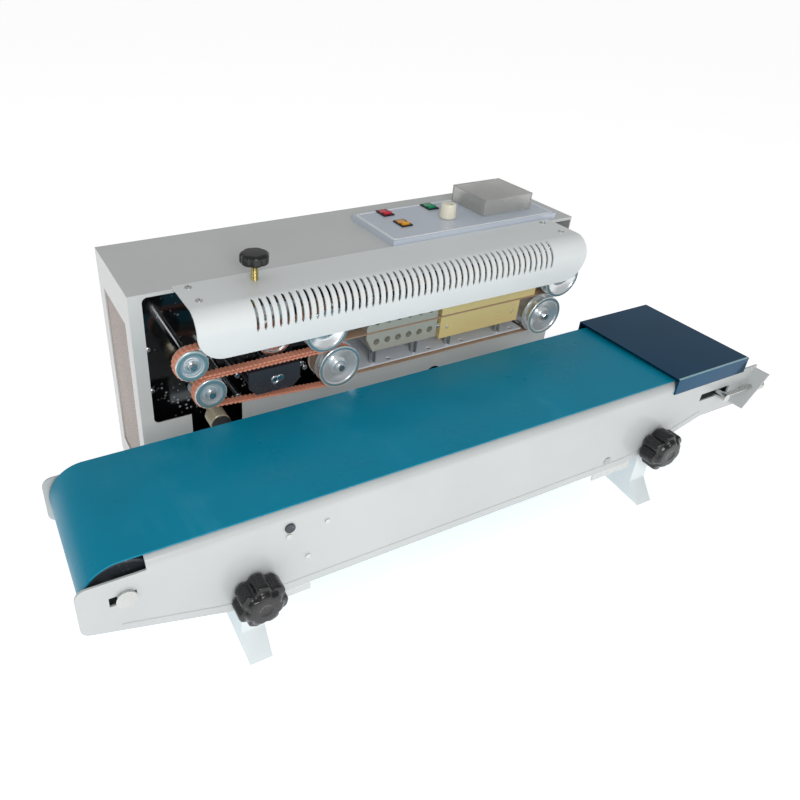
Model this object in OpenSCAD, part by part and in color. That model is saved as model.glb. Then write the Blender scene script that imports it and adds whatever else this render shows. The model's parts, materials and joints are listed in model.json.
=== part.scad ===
// Continuous band sealer: a heated sealing head over a small belt conveyor.
// X runs along the conveyor, Y from its front plate back to the case, Z up from the table.

/* [Conveyor] */
// Length of the front side plate
conveyor_l = 826; // [740:2:1000]
// Width over the side plates
conveyor_w = 150; // [120:5:200]
// Thickness of the folded sheet
conveyor_t = 2; // [1.5:0.5:3]
// Height of the bed's top face
bed_z = 162; // [150:1:175]
// Outer radius of the fold between bed and side plate
shoulder_r = 10; // [6:1:14]
// Height of the side plates' lower edge
plate_low_z = 64; // [60:1:75]
// Height of the lower edge at the plates' ends
plate_end_z = 98; // [90:1:104]
// Length of the slope of the lower edge at the left end
plate_slope_l = 128; // [90:2:160]
// Length of the slope of the lower edge towards the right end
right_slope_l = 115; // [90:5:150]
// Length of the level stretch of the lower edge at the right end
right_flat_l = 81; // [60:1:100]
// Length of the open notch over each end roller
notch_l = 59; // [50:1:70]
// Depth of that notch below the bed
notch_h = 11; // [8:1:14]
// Inward return flange along the lower edge
return_w = 12; // [8:1:16]
// Belt thickness
belt_t = 2; // [1:0.5:3]
// Gap between the belt's edge and the plates' outer faces
belt_edge = 6; // [4:1:10]
// Distance from the plates' left end to the left roller's axis
roller_x = 40; // [38:1:50]
// Radius of the end rollers
end_roller_r = 33.7; // [30:0.1:36]
// Distance from the left end to the right roller's axis, measured from the right end
right_roller_x = 64; // [60:1:90]
// Cover plate: length along the belt
cover_l = 121; // [100:1:150]
// Cover plate: distance from its right end to the plates' right end
cover_end = 28; // [24:1:60]
// Cover plate: height of the lips
cover_lip = 19; // [12:1:24]
// Wall of the end rollers
roller_wall = 3; // [2:0.5:5]
// Radius of the driving roller
drive_roller_r = 18; // [16:1:22]
// Place of the driving roller along the belt
drive_roller_x = 188; // [180:1:200]
// Radius of the return roller
return_roller_r = 13; // [10:1:14]
// Place of the return roller along the belt
return_roller_x = 596; // [560:1:605]
// Travel of the conveyor up and down from its middle height
lift_travel = 10; // [5:1:10]

/* [Stands] */
// Place of the left stand's middle
left_stand_x = 152; // [142:1:158]
// Place of the right stand's middle
right_stand_x = 667; // [650:1:680]
// Width of a leg's front face
leg_w = 24; // [18:1:30]
// How far a foot reaches out in front of the side plate
foot_out = 17; // [8:1:24]
// Height at which the leg bends out to its foot
foot_bend_z = 25; // [15:1:32]
// Thickness of the stand's sheet
leg_t = 2; // [1.5:0.5:3]
// Height of the star knobs' axis
star_z = 82; // [80:1:84]
// Radius of the star knobs
star_r = 26; // [18:1:28]
// Thickness of the star knobs' head
star_h = 20; // [14:1:26]
// Radius of the clamping studs
stud_r = 4; // [3:0.5:5]

/* [Case] */
// Left face of the case, from the conveyor's left end
case_x = 113; // [105:1:118]
// Case length
case_l = 573; // [560:1:620]
// Case depth
case_d = 136; // [130:1:180]
// Gap from the conveyor's rear plate to the case
case_gap = 62; // [60:1:66]
// Height of the case's top face
case_top = 290; // [290:1:310]
// Height of the rubber feet
foot_h = 10; // [8:1:16]
// Sheet thickness of case and hood
case_t = 1.5; // [1:0.5:2]
// Width of the left front post
post_w = 14; // [10:1:16]
// Height of the window's lower edge
window_z = 135; // [130:1:140]
// Depth of the black mounting plate's front face behind the case's front face
recess_d = 44; // [44:1:50]

/* [Hood] */
// Hood: left end, from the case's left face
hood_x = 46; // [30:1:48]
// Hood length
hood_l = 488; // [480:1:505]
// Outer radius of the hood's bend
hood_r = 22; // [15:1:25]
// Height of the hood's lower edge
hood_low_z = 242; // [236:1:250]
// Radius of the lower corners
hood_corner_r = 28; // [15:1:30]
// Number of cooling slots
slot_count = 47; // [20:1:47]
// Distance between two slots
slot_pitch = 8.1; // [7:0.1:8.2]
// Width of a slot
slot_w = 3; // [2:0.5:4]

/* [Sealing head] */
// Height of the plane in which the bag's mouth runs
seal_z = 204; // [202:1:206]
// Radius of the band wheels with their bands on
wheel_r = 25; // [22:1:25]
// Place of the lower left wheel
wheel_x = 331; // [320:1:335]
// Distance between the left and the right wheels
wheel_span = 299; // [295:1:305]
// How far the upper left wheel sits left of the lower one
upper_shift = 18; // [15:1:22]
// Radius of the two small belt pulleys with their belts on
pulley_r = 19; // [16:1:19]
// Place of the upper left pulley
upper_pulley_x = 161; // [158:1:165]
// Place of the lower left pulley
lower_pulley_x = 179; // [176:1:184]
// Thickness of the toothed guide belts
guide_t = 3; // [2.5:0.5:4]
// Width of the guide belts
guide_w = 9.4; // [8:0.1:9.4]
// Thickness of the coated sealing bands
band_t = 0.6; // [0.4:0.1:1]
// Width of the sealing bands
band_w = 14.4; // [12:0.1:14.4]
// Radius of the wheels' axles and shafts
axle_r = 5; // [4:0.5:6]
// Place of the embossing wheel
emboss_x = 258; // [250:1:262]
// Radius of the embossing wheel and of the rubber wheel under it
emboss_r = 19.8; // [18:0.1:20]
// Depth of the heating and cooling blocks
block_d = 28; // [24:1:30]
// Height of the lower heating block
heater_h = 29; // [26:1:30]
// Length of the lower heating block
heater_l = 121; // [100:1:122]
// How much longer the upper heating block is
heater_extra = 23; // [10:1:24]
// Height of the cooling blocks
cooler_h = 24; // [20:1:26]
// Length of the cooling blocks
cooler_l = 98; // [90:1:100]
// Left end of the cooling blocks, from the lower left wheel's axis
cooler_x = 41; // [38:1:44]
// Gap between cooling and heating blocks, filled by the spacer pins
block_gap = 6; // [4:1:8]
// Radius of the cross holes in the cooling blocks
cooler_hole_r = 4; // [3:0.5:5]
// Radius of the posts under the blocks
post_r = 4; // [3:0.5:5]

/* [Drive] */
// Teeth on each gear of the counter-rotating pair
gear_teeth = 27; // [20:1:36]
// Width of the gears
gear_w = 8; // [6:1:10]
// Radius of the gear motor
motor_r = 30; // [25:1:32]
// Radius of the sprocket on the conveyor's input shaft
sprocket_r = 14; // [12:1:16]
// Width of the driving chain
chain_w = 4; // [3:0.5:5]
// Radius of the cooling fan's blades
fan_r = 27; // [20:1:28]

/* [Controls] */
// Control panel: left end, from the case's left face
panel_x = 307; // [300:1:315]
// Control panel: length
panel_l = 242; // [242:1:255]
// Control panel: depth
panel_d = 95; // [95:1:98]
// Control panel: height of its rim above the case
panel_h = 7; // [6:1:10]
// Rocker switch: length of the frame
rocker_l = 21; // [20:1:24]
// Rocker switch: width of the frame
rocker_w = 15; // [14:1:17]
// Angle between a rocker's two positions
rocker_swing = 20; // [10:1:20]
// Radius of the speed knob
speed_r = 10; // [8:0.5:12]
// Height of the speed knob
speed_h = 18; // [12:1:20]
// Clear cover: length
clear_l = 74; // [70:1:76]
// Clear cover: depth
clear_d = 66; // [60:1:68]
// Clear cover: height
clear_h = 21; // [20:1:26]
// Radius of the pressure knob
press_knob_r = 16; // [14:1:18]

/* [Clearances] */
// Radial gap of a shaft in its hole
run_gap = 0.05; // [0.02:0.01:0.08]
// Gap between moving neighbours
move_gap = 0.3; // [0.25:0.05:0.4]
// Gap of a stud in a slot
slot_gap = 0.5; // [0.4:0.1:1]

/* [Hidden] */

// Places that follow from the sizes above.
case_y = conveyor_w + case_gap;
case_right = case_x + case_l;
case_rear = case_y + case_d;
plate_y = case_y + recess_d;
plate_t = 3;
hood_left = case_x + hood_x;
hood_right = hood_left + hood_l;
hood_front = case_y - 70;
hood_top = case_top + case_t;
head_y = conveyor_w + 20;
flange_t = 2;
guide_y = head_y + flange_t;
guide_lane = 10;
rib_t = 1;
band_y = guide_y + guide_lane + rib_t;
band_lane = 15;
wheel_end_y = band_y + band_lane + flange_t;
flange_over = 1;
lower_z = seal_z - wheel_r;
upper_z = seal_z + wheel_r;
half_gap = move_gap / 2;
upper_x = wheel_x - upper_shift;
right_x = wheel_x + wheel_span;
upper_right_x = right_x + upper_shift;
lower_pulley_z = seal_z - pulley_r;
upper_pulley_z = seal_z + pulley_r;
emboss_z = seal_z + emboss_r + half_gap;
press_z = seal_z - emboss_r - half_gap;
block_y = band_y + 1;
block_rear = block_y + block_d;
band_gap = band_t + half_gap + 0.25;
cooler_left = wheel_x + cooler_x;
heater_left = cooler_left + cooler_l + block_gap;
shelf_z = 159;
shelf_left = wheel_x + wheel_r + 2;
shelf_right = right_x - wheel_r + 5;
shelf_y = block_y + 2;
upper_shelf_z = 266;
post_y = block_y + 8;
upper_post_y = band_y + band_lane + post_r + 4;
belt_r = end_roller_r + move_gap + belt_t;
roller_z = bed_z + belt_t - belt_r;
end_x = conveyor_l - right_roller_x;
cover_right = conveyor_l - cover_end;
cover_left = cover_right - cover_l;
cover_z = bed_z + belt_t + 4;
star_y = -move_gap;
star_front = star_y - star_h - 7;
leg_y = conveyor_t + move_gap;
gusset_w = 48;
gusset_z = 76;
bar_z = 42;
nut_r = 6.5;
gear_y = plate_y + plate_t + 5;
gear_gap = norm([upper_shift, 2 * wheel_r]);
gear_r = gear_gap / 2;
gear_module = 2 * gear_r / gear_teeth;
gear_angle = atan2(2 * wheel_r, -upper_shift);
chain_y = gear_y + gear_w + 4;
drive_sprocket_r = sprocket_r * wheel_r / drive_roller_r;
motor_y = chain_y + chain_w + 4;
drive_z = bed_z - drive_roller_r;
panel_left = case_x + panel_x;
panel_y = case_y + 5;
panel_top = case_top + panel_h;
panel_rear = panel_y + panel_d;
clear_left = panel_left + panel_l - clear_l - 22;
clear_y = panel_rear - clear_d - 5;
cover_hinge_y = clear_y + clear_d + 2.6;
cover_hinge_z = panel_top + 2.2;
cover_pin_r = 1.2;
hinge_lug_r = 2;
rocker_z = panel_top - 1.5;
rocker_pin_r = 1;
knob_x = case_x + 127;
knob_y = case_y - 15;
carriage_y = band_y + band_lane;
carriage_d = 8;
lug_w = 18;
lug_h = 41;
lug_lean = 30;
lug_z1 = bed_z - 15;
lug_z0 = lug_z1 - lug_h;
bolt_out = 2;
origin_x = (conveyor_l + bolt_out) / 2;
origin_y = (star_front + case_rear + case_t + 2) / 2;
fine = 64;

// Puts a piece drawn from the conveyor's front left corner into the row's frame.
module placed() {
    translate([-origin_x, -origin_y, 0])
        children();
}

// A round bar along Y.
module y_bar(x, z, y0, y1, r) {
    translate([x, y0, z])
        rotate([-90, 0, 0])
            cylinder(r = r, h = y1 - y0, $fn = fine);
}

// A round bar along X.
module x_bar(y, z, x0, x1, r) {
    translate([x0, y, z])
        rotate([0, 90, 0])
            cylinder(r = r, h = x1 - x0, $fn = fine);
}

// A round bar along Z.
module z_bar(x, y, z0, z1, r) {
    translate([x, y, z0])
        cylinder(r = r, h = z1 - z0, $fn = fine);
}

// A block between two corners.
module block(a, b) {
    translate(a)
        cube(b - a);
}

// An XZ outline made solid between two depths.
module y_plate(y0, y1) {
    translate([0, y1, 0])
        rotate([90, 0, 0])
            linear_extrude(height = y1 - y0)
                children();
}

// A YZ outline made solid between two lengths.
module x_plate(x0, x1) {
    translate([x0, 0, 0])
        rotate([90, 0, 90])
            linear_extrude(height = x1 - x0)
                children();
}

// Points of an arc.
function arc(cx, cy, r, a0, a1, n = 8) =
    [for (i = [0:n]) let (a = a0 + (a1 - a0) * i / n) [cx + r * cos(a), cy + r * sin(a)]];

// Outline of a belt that wraps two circles.
function loop_points(p, rp, q, rq, n = 20) =
    let (
        d = norm(q - p),
        turn = atan2(q[1] - p[1], q[0] - p[0]),
        open = acos((rp - rq) / d)
    )
    concat(
        arc(p[0], p[1], rp, turn + open, turn + 360 - open, n),
        arc(q[0], q[1], rq, turn - open, turn + open, n)
    );

// A closed flat belt round two circles.
module loop_belt(p, rp, q, rq, t, y0, y1, n = 20) {
    y_plate(y0, y1)
        difference() {
            polygon(loop_points(p, rp, q, rq, n));
            polygon(loop_points(p, rp - t, q, rq - t, n));
        }
}

// A wheel or pulley along Y: each part is [start, end, radius].
module stepped_wheel(x, z, parts, bore_r) {
    difference() {
        union() {
            for (part = parts)
                y_bar(x, z, part[0], part[1], part[2]);
        }
        y_bar(x, z, parts[0][0] - 1, parts[len(parts) - 1][1] + 1, bore_r);
    }
}

// The lanes and flanges of a band wheel.
function wheel_parts() = let (
        rim = wheel_r + flange_over,
        guide = wheel_r - half_gap - guide_t - move_gap,
        band = wheel_r - half_gap - band_t - move_gap
    )
    [[head_y, guide_y, rim], [guide_y, guide_y + guide_lane, guide],
     [guide_y + guide_lane, band_y, rim], [band_y, band_y + band_lane, band],
     [band_y + band_lane, wheel_end_y, rim]];

// The lane and flanges of a small pulley.
function pulley_parts() = let (
        rim = pulley_r - 1.5,
        lane = pulley_r - half_gap - guide_t - move_gap
    )
    [[head_y, guide_y, rim], [guide_y, guide_y + guide_lane, lane],
     [guide_y + guide_lane, guide_y + guide_lane + flange_t, rim]];

// A spur gear with straight flanked teeth, its first tooth at the given angle.
module gear(x, z, y0, y1, phase) {
    tooth = 360 / gear_teeth;
    outer = gear_r + 0.85 * gear_module;
    inner = gear_r - 1.15 * gear_module;
    y_plate(y0, y1)
        translate([x, z])
            polygon([for (i = [0:gear_teeth - 1]) each [
                for (step = [[-0.32, inner], [-0.23, gear_r], [-0.10, outer],
                        [0.10, outer], [0.23, gear_r], [0.32, inner]])
                    let (a = phase + tooth * (i + step[0]))
                    [step[1] * cos(a), step[1] * sin(a)]
            ]]);
}

// Case

// Outline of the window in the case's front, with rounded left corners.
module window_outline() {
    left = case_x + post_w;
    right = case_right - case_t;
    top = case_top - 4;
    r = 6;
    polygon(concat(
        [[right, window_z], [right, top]],
        arc(left + r, top - r, r, 90, 180),
        arc(left + r, window_z + r, r, 180, 270)
    ));
}

module case_shell() {
    color("whitesmoke")
        placed()
            difference() {
                block([case_x, case_y, foot_h], [case_right, case_rear, case_top]);
                block([case_x + case_t, case_y + case_t, foot_h - 1],
                    [case_right - case_t, case_rear + 1, case_top - case_t]);
                y_plate(case_y - 1, case_y + case_t + 1)
                    window_outline();
                block([case_x + 56, case_y - 1, 95], [case_x + 116, case_y + 3, window_z + 1]);
                y_bar(case_x + 384, 102, case_y - 1, case_y + 3, 12);
                block([panel_left + 4, panel_y + 4, case_top - 3],
                    [panel_left + panel_l - 4, panel_rear - 3, case_top + 1]);
                for (x = [case_x - 1, case_right - case_t - 1])
                    block([x, case_y + 22, 42], [x + case_t + 2, case_rear - 22, 250]);
            }
}

module vent_panels() {
    color("gainsboro")
        placed()
            for (x = [case_x + case_t, case_right - 2 * case_t])
                difference() {
                    block([x, case_y + 16, 36], [x + case_t, case_rear - 16, 256]);
                    for (z = [50:12:240])
                        block([x - 1, case_y + 26, z], [x + case_t + 1, case_rear - 26, z + 3]);
                }
}

module rear_cover() {
    color("whitesmoke")
        placed()
            difference() {
                block([case_x, case_rear, foot_h], [case_right, case_rear + case_t, case_top]);
                for (i = [0:11])
                    block([case_x + 200 + i * 12, case_rear - 1, 90],
                        [case_x + 204 + i * 12, case_rear + case_t + 1, 150]);
                block([case_x + 60, case_rear - 1, 50], [case_x + 90, case_rear + 4, 72]);
            }
}

module base_plate() {
    color("silver")
        placed()
            block([case_x + case_t, case_y + case_t, foot_h],
                [case_right - case_t, case_rear, foot_h + 2]);
}

module rubber_feet() {
    color("black")
        placed()
            for (x = [case_x + 25, case_right - 25])
                for (y = [case_y + 22, case_rear - 22])
                    z_bar(x, y, 0, foot_h, 11);
}

// Screws of the rear cover and of the hood.
module case_screws() {
    color("silver")
        placed() {
            for (x = [case_x + 8, case_x + case_l / 2, case_right - 8])
                for (z = [foot_h + 12, case_top - 12])
                    y_bar(x, z, case_rear + case_t, case_rear + case_t + 1.5, 3.5);
            for (x = [hood_left + 14, hood_right - 16])
                for (y = [case_y - 6, case_y - 38])
                    z_bar(x, y, hood_top, hood_top + 2, 3);
        }
}

// Holes in the mounting plate for shafts and axles.
module plate_holes(y0, y1, grow = 0) {
    for (at = [[wheel_x, lower_z], [upper_x, upper_z], [drive_roller_x, drive_z]])
        y_bar(at[0], at[1], y0, y1, 10 + grow);
    for (at = axle_places())
        y_bar(at[0], at[1], y0, y1, axle_r + grow);
}

module mounting_plate() {
    color("black")
        placed()
            difference() {
                block([case_x + 2 * case_t, plate_y, foot_h + 2],
                    [case_right - 2 * case_t, plate_y + plate_t, case_top - case_t]);
                plate_holes(plate_y - 1, plate_y + plate_t + 1);
            }
}

module hood() {
    inner = hood_r - case_t;
    bend_y = hood_front + hood_r;
    bend_z = hood_top - hood_r;
    slots_x = hood_left + 60;
    color("white")
        placed()
            difference() {
                x_plate(hood_left, hood_right)
                    polygon(concat(
                        [[case_y + 4, hood_top], [case_y + 4, case_top]],
                        arc(bend_y, bend_z, inner, 90, 180),
                        [[hood_front + case_t, hood_low_z], [hood_front, hood_low_z]],
                        arc(bend_y, bend_z, hood_r, 180, 90)
                    ));
                for (i = [0:slot_count - 1])
                    block([slots_x + i * slot_pitch, hood_front - 1, bend_z - 6],
                        [slots_x + i * slot_pitch + slot_w, bend_y - 4, hood_top + 1]);
                for (side = [0, 1])
                    translate([side * (hood_left + hood_right), 0, 0])
                        mirror([side, 0, 0])
                            y_plate(hood_front - 1, hood_front + case_t + 1)
                                polygon(concat(
                                    [[hood_left - 1, hood_low_z - 1]],
                                    [[hood_left - 1, hood_low_z + hood_corner_r]],
                                    arc(hood_left + hood_corner_r, hood_low_z + hood_corner_r,
                                        hood_corner_r, 180, 270),
                                    [[hood_left + hood_corner_r, hood_low_z - 1]]
                                ));
                z_bar(knob_x, knob_y, case_top - 1, hood_top + 1, 7);
            }
}

// Stands

// The leg inside the conveyor's front plate: its slotted wall, the foot bent out below, and its gusset.
module leg(x) {
    half = leg_w / 2;
    top = star_z + 20;
    y1 = leg_y + leg_t;
    difference() {
        union() {
            x_plate(x - half, x + half)
                polygon([[leg_y, top], [leg_y, foot_bend_z], [-foot_out, 0], [leg_t * 1.4 - foot_out, 0],
                    [y1, foot_bend_z - 1], [y1, top]]);
            x_plate(x - half, x - half + leg_t)
                polygon([[leg_y, gusset_z], [gusset_w, gusset_z], [gusset_w, 9], [-foot_out, 0],
                    [leg_y, foot_bend_z]]);
        }
        for (z = [star_z - lift_travel, star_z + lift_travel])
            y_bar(x, z, leg_y - 1, y1 + 1, stud_r + slot_gap);
        block([x - stud_r - slot_gap, leg_y - 1, star_z - lift_travel],
            [x + stud_r + slot_gap, y1 + 1, star_z + lift_travel]);
    }
}

// Two stands, each with two legs, the bar that ties them and its tab on the case.
module stands() {
    half = leg_w / 2;
    color("white")
        placed()
            for (x = [left_stand_x, right_stand_x]) {
                leg(x);
                translate([0, conveyor_w, 0])
                    mirror([0, 1, 0])
                        leg(x);
                block([x - half, leg_y, bar_z - leg_t], [x + half, case_y, bar_z + leg_t]);
                block([x - half, case_y - leg_t, bar_z - 14], [x + half, case_y, bar_z + 18]);
            }
}

// Sealing head

// Posts along the blocks, from the cooling blocks' left end.
function post_places() = [cooler_left + 16, heater_left - 30, heater_left + 20, heater_left + 98];

module lower_shelf() {
    color("lightgray")
        placed()
            difference() {
                union() {
                    block([shelf_left, shelf_y, shelf_z - 2], [shelf_right, plate_y, shelf_z]);
                    block([shelf_left, plate_y - 2, shelf_z], [shelf_right, plate_y, shelf_z + 14]);
                }
                for (x = post_places())
                    z_bar(x + 22, post_y, shelf_z - 5, shelf_z + 5, 3);
            }
}

module upper_shelf() {
    color("lightgray")
        placed() {
            block([shelf_left, shelf_y, upper_shelf_z], [shelf_right, plate_y, upper_shelf_z + 2]);
            block([shelf_left, plate_y - 2, upper_shelf_z - 14],
                [shelf_right, plate_y, upper_shelf_z]);
        }
}

// Posts under the lower blocks and, behind the upper band, sprung posts over the upper ones.
module block_posts() {
    color("silver")
        placed()
            for (x = post_places()) {
                reach = band_gap + (x < heater_left ? cooler_h : heater_h);
                z_bar(x, post_y, shelf_z, seal_z - reach, post_r);
                z_bar(x, upper_post_y, seal_z + reach, upper_shelf_z, post_r);
                z_bar(x, upper_post_y, upper_shelf_z - 12, upper_shelf_z, post_r + 2);
            }
}

// A heating block with its two cartridge bores.
module heater(z0, z1, l) {
    difference() {
        block([heater_left, block_y, z0], [heater_left + l, block_rear, z1]);
        x_bar(block_y + block_d / 2, (z0 + z1) / 2, heater_left + 20, heater_left + l + 1,
            axle_r + run_gap);
    }
}

module lower_heater() {
    color("goldenrod")
        placed()
            heater(seal_z - band_gap - heater_h, seal_z - band_gap, heater_l);
}

module upper_heater() {
    color("goldenrod")
        placed()
            heater(seal_z + band_gap, seal_z + band_gap + heater_h, heater_l + heater_extra);
}

module heater_cartridges() {
    color("silver")
        placed() {
            x_bar(block_y + block_d / 2, seal_z - band_gap - heater_h / 2, heater_left + 22,
                heater_left + heater_l - 1, axle_r);
            x_bar(block_y + block_d / 2, seal_z + band_gap + heater_h / 2, heater_left + 22,
                heater_left + heater_l + heater_extra - 1, axle_r);
        }
}

// Outline of a cooling block below or above the bands: side is -1 or 1.
module cooler_outline(side) {
    near = seal_z + side * band_gap;
    far = seal_z + side * (band_gap + cooler_h);
    right = cooler_left + cooler_l;
    polygon([[cooler_left, near], [cooler_left, near + side * 6], [cooler_left + 10, far],
        [right, far], [right, near]]);
}

module cooler(side) {
    mid = seal_z + side * (band_gap + cooler_h / 2);
    pitch = (cooler_l - 24) / 5;
    difference() {
        y_plate(block_y, block_rear)
            cooler_outline(side);
        for (i = [0:5])
            y_bar(cooler_left + 14 + i * pitch, mid, block_y - 1, block_rear + 1, cooler_hole_r);
    }
}

module lower_cooler() {
    color("lightgray")
        placed()
            cooler(-1);
}

module upper_cooler() {
    color("lightgray")
        placed()
            cooler(1);
}

// Spacers between the blocks, and the round pins around the embossing wheel's bracket.
module head_pins() {
    color("silver")
        placed() {
            for (side = [-1, 1])
                x_bar(block_y + 6, seal_z + side * (band_gap + cooler_h / 2), heater_left - block_gap,
                    heater_left, 5);
            y_bar(emboss_x, press_z, guide_y - 1.5, guide_y, 4);
            for (at = [[-44, -14], [32, -18], [-44, -40], [36, -24]])
                y_bar(emboss_x + at[0], seal_z + at[1], guide_y + guide_lane + 2, plate_y, 3);
        }
}

// Axles that carry the idle wheels: [x, z, front end].
function axle_places() = [
    [right_x, lower_z, head_y - 2],
    [upper_right_x, upper_z, head_y - 2],
    [upper_pulley_x, upper_pulley_z, head_y - 2],
    [lower_pulley_x, lower_pulley_z, head_y - 2],
    [emboss_x, press_z, head_y + 8]
];

module axles() {
    color("silver")
        placed()
            for (at = axle_places())
                y_bar(at[0], at[1], at[2], plate_y + plate_t + 3, axle_r);
}

module bearings() {
    color("silver")
        placed()
            for (at = [[wheel_x, lower_z], [upper_x, upper_z], [drive_roller_x, drive_z]])
                difference() {
                    y_bar(at[0], at[1], plate_y - 4, plate_y + plate_t + 2, 10);
                    y_bar(at[0], at[1], plate_y - 5, plate_y + plate_t + 3, axle_r + run_gap);
                }
}

module press_bracket() {
    cut = 9;
    left = emboss_x - 36;
    right = emboss_x + 24;
    low = seal_z - 36;
    high = seal_z - 6.5;
    color("dimgray")
        placed() {
            y_plate(guide_y, guide_y + 4)
                polygon([[left + cut, low], [right - cut, low], [right, low + cut],
                    [right, high], [left, high], [left, low + cut]]);
            for (z = [high - 6, high - 20])
                y_bar(left + 6, z, guide_y + 4, plate_y, 3);
        }
}

// The block in which the embossing carriage slides, on the mounting plate.
module carriage_guide() {
    y0 = carriage_y + carriage_d + move_gap;
    color("dimgray")
        placed()
            difference() {
                block([emboss_x - 26, y0 - 6, emboss_z - 4], [emboss_x + 26, plate_y, emboss_z + 30]);
                block([emboss_x - 22 - move_gap, y0 - 7, emboss_z - 5],
                    [emboss_x + 22 + move_gap, y0, emboss_z + 31]);
            }
}

module guide_belts() {
    w0 = guide_y + (guide_lane - guide_w) / 2;
    color("coral")
        placed() {
            loop_belt([lower_pulley_x, lower_pulley_z], pulley_r - half_gap, [wheel_x, lower_z],
                wheel_r - half_gap, guide_t, w0, w0 + guide_w);
            loop_belt([upper_pulley_x, upper_pulley_z], pulley_r - half_gap, [upper_x, upper_z],
                wheel_r - half_gap, guide_t, w0, w0 + guide_w);
        }
}

module seal_bands() {
    w0 = band_y + (band_lane - band_w) / 2;
    color("tan")
        placed() {
            loop_belt([wheel_x, lower_z], wheel_r - half_gap, [right_x, lower_z],
                wheel_r - half_gap, band_t, w0, w0 + band_w);
            loop_belt([upper_x, upper_z], wheel_r - half_gap, [upper_right_x, upper_z],
                wheel_r - half_gap, band_t, w0, w0 + band_w);
        }
}

// A driven wheel with its shaft, gear and, below, its sprocket.
module lower_drive_wheel() {
    color("silver")
        placed() {
            stepped_wheel(wheel_x, lower_z, wheel_parts(), axle_r);
            y_bar(wheel_x, lower_z, head_y - 2, motor_y + 20, axle_r);
            gear(wheel_x, lower_z, gear_y, gear_y + gear_w, gear_angle);
            y_bar(wheel_x, lower_z, chain_y, chain_y + chain_w, drive_sprocket_r - 1.5);
        }
}

module upper_drive_wheel() {
    color("silver")
        placed() {
            stepped_wheel(upper_x, upper_z, wheel_parts(), axle_r);
            y_bar(upper_x, upper_z, head_y - 2, gear_y + gear_w + 2, axle_r);
            gear(upper_x, upper_z, gear_y, gear_y + gear_w,
                gear_angle + 180 + 180 / gear_teeth);
        }
}

module lower_idle_wheel() {
    color("silver")
        placed()
            stepped_wheel(right_x, lower_z, wheel_parts(), axle_r + run_gap);
}

module upper_idle_wheel() {
    color("silver")
        placed()
            stepped_wheel(upper_right_x, upper_z, wheel_parts(), axle_r + run_gap);
}

module lower_pulley() {
    color("silver")
        placed()
            stepped_wheel(lower_pulley_x, lower_pulley_z, pulley_parts(), axle_r + run_gap);
}

module upper_pulley() {
    color("silver")
        placed()
            stepped_wheel(upper_pulley_x, upper_pulley_z, pulley_parts(), axle_r + run_gap);
}

module emboss_wheel() {
    color("silver")
        placed()
            stepped_wheel(emboss_x, emboss_z, [[band_y + 2, band_y + 14, emboss_r]],
                axle_r + run_gap);
}

module press_wheel() {
    color("dimgray")
        placed()
            stepped_wheel(emboss_x, press_z, [[band_y + 2, band_y + 14, emboss_r]],
                axle_r + run_gap);
}

// The sliding carriage with the embossing wheel's pin and the arm under the pressure knob.
module emboss_carriage() {
    color("darkkhaki")
        placed() {
            block([emboss_x - 22, carriage_y, emboss_z - 10],
                [emboss_x + 22, carriage_y + carriage_d, upper_shelf_z]);
            block([knob_x - 10, knob_y - 10, upper_shelf_z - 8],
                [emboss_x + 22, carriage_y + carriage_d, upper_shelf_z]);
            y_bar(emboss_x, emboss_z, band_y, carriage_y + 1, axle_r);
        }
}

module pressure_knob() {
    lobes = 7;
    head_z = hood_top + 11;
    color("black")
        placed()
            union() {
                z_bar(knob_x, knob_y, upper_shelf_z, head_z + 2, 5.5);
                z_bar(knob_x, knob_y, head_z, head_z + 19, press_knob_r - 3);
                for (i = [0:lobes - 1])
                    z_bar(knob_x + (press_knob_r - 5) * cos(i * 360 / lobes),
                        knob_y + (press_knob_r - 5) * sin(i * 360 / lobes),
                        head_z + 2, head_z + 17, 5);
            }
}

// Drive

module gear_motor() {
    color("dimgray")
        placed()
            difference() {
                union() {
                    block([wheel_x - 34, motor_y, lower_z - 34], [wheel_x + 34, motor_y + 24, lower_z + 34]);
                    y_bar(wheel_x, lower_z, motor_y + 24, case_rear - 6, motor_r);
                    block([wheel_x - 34, plate_y + plate_t, lower_z - 50],
                        [wheel_x + 34, motor_y + 24, lower_z - 34]);
                }
                y_bar(wheel_x, lower_z, motor_y - 1, motor_y + 21, axle_r + run_gap);
            }
}

module drive_chain() {
    color("gray")
        placed()
            loop_belt([drive_roller_x, drive_z], sprocket_r + 1, [wheel_x, lower_z],
                drive_sprocket_r + 1, 2, chain_y + 0.5, chain_y + chain_w - 0.5);
}

// The shaft that carries the drive out through the case to the conveyor's coupling.
module input_shaft() {
    color("silver")
        placed() {
            y_bar(drive_roller_x, drive_z, conveyor_w + 21, chain_y + chain_w + 1, axle_r);
            y_bar(drive_roller_x, drive_z, conveyor_w + 21, conveyor_w + 41, 11);
            y_bar(drive_roller_x, drive_z, chain_y, chain_y + chain_w, sprocket_r - 1.5);
        }
}

// Fan place, centred behind the cooling blocks.
function fan_at() = [cooler_left + 100, seal_z + 10];

module fan_housing() {
    at = fan_at();
    side = fan_r + 4;
    y0 = plate_y + plate_t + 8;
    color("black")
        placed() {
            difference() {
                block([at[0] - side, y0, at[1] - side], [at[0] + side, y0 + 22, at[1] + side]);
                y_bar(at[0], at[1], y0 - 1, y0 + 23, fan_r + 1);
            }
            y_bar(at[0], at[1], y0 + 17, y0 + 22, 10);
            block([at[0] - side + 1, y0 + 19, at[1] - 2], [at[0] + side - 1, y0 + 22, at[1] + 2]);
            for (x = [-1, 1])
                for (z = [-1, 1])
                    y_bar(at[0] + x * (side - 4), at[1] + z * (side - 4), plate_y + plate_t, y0, 3);
        }
}

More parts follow.
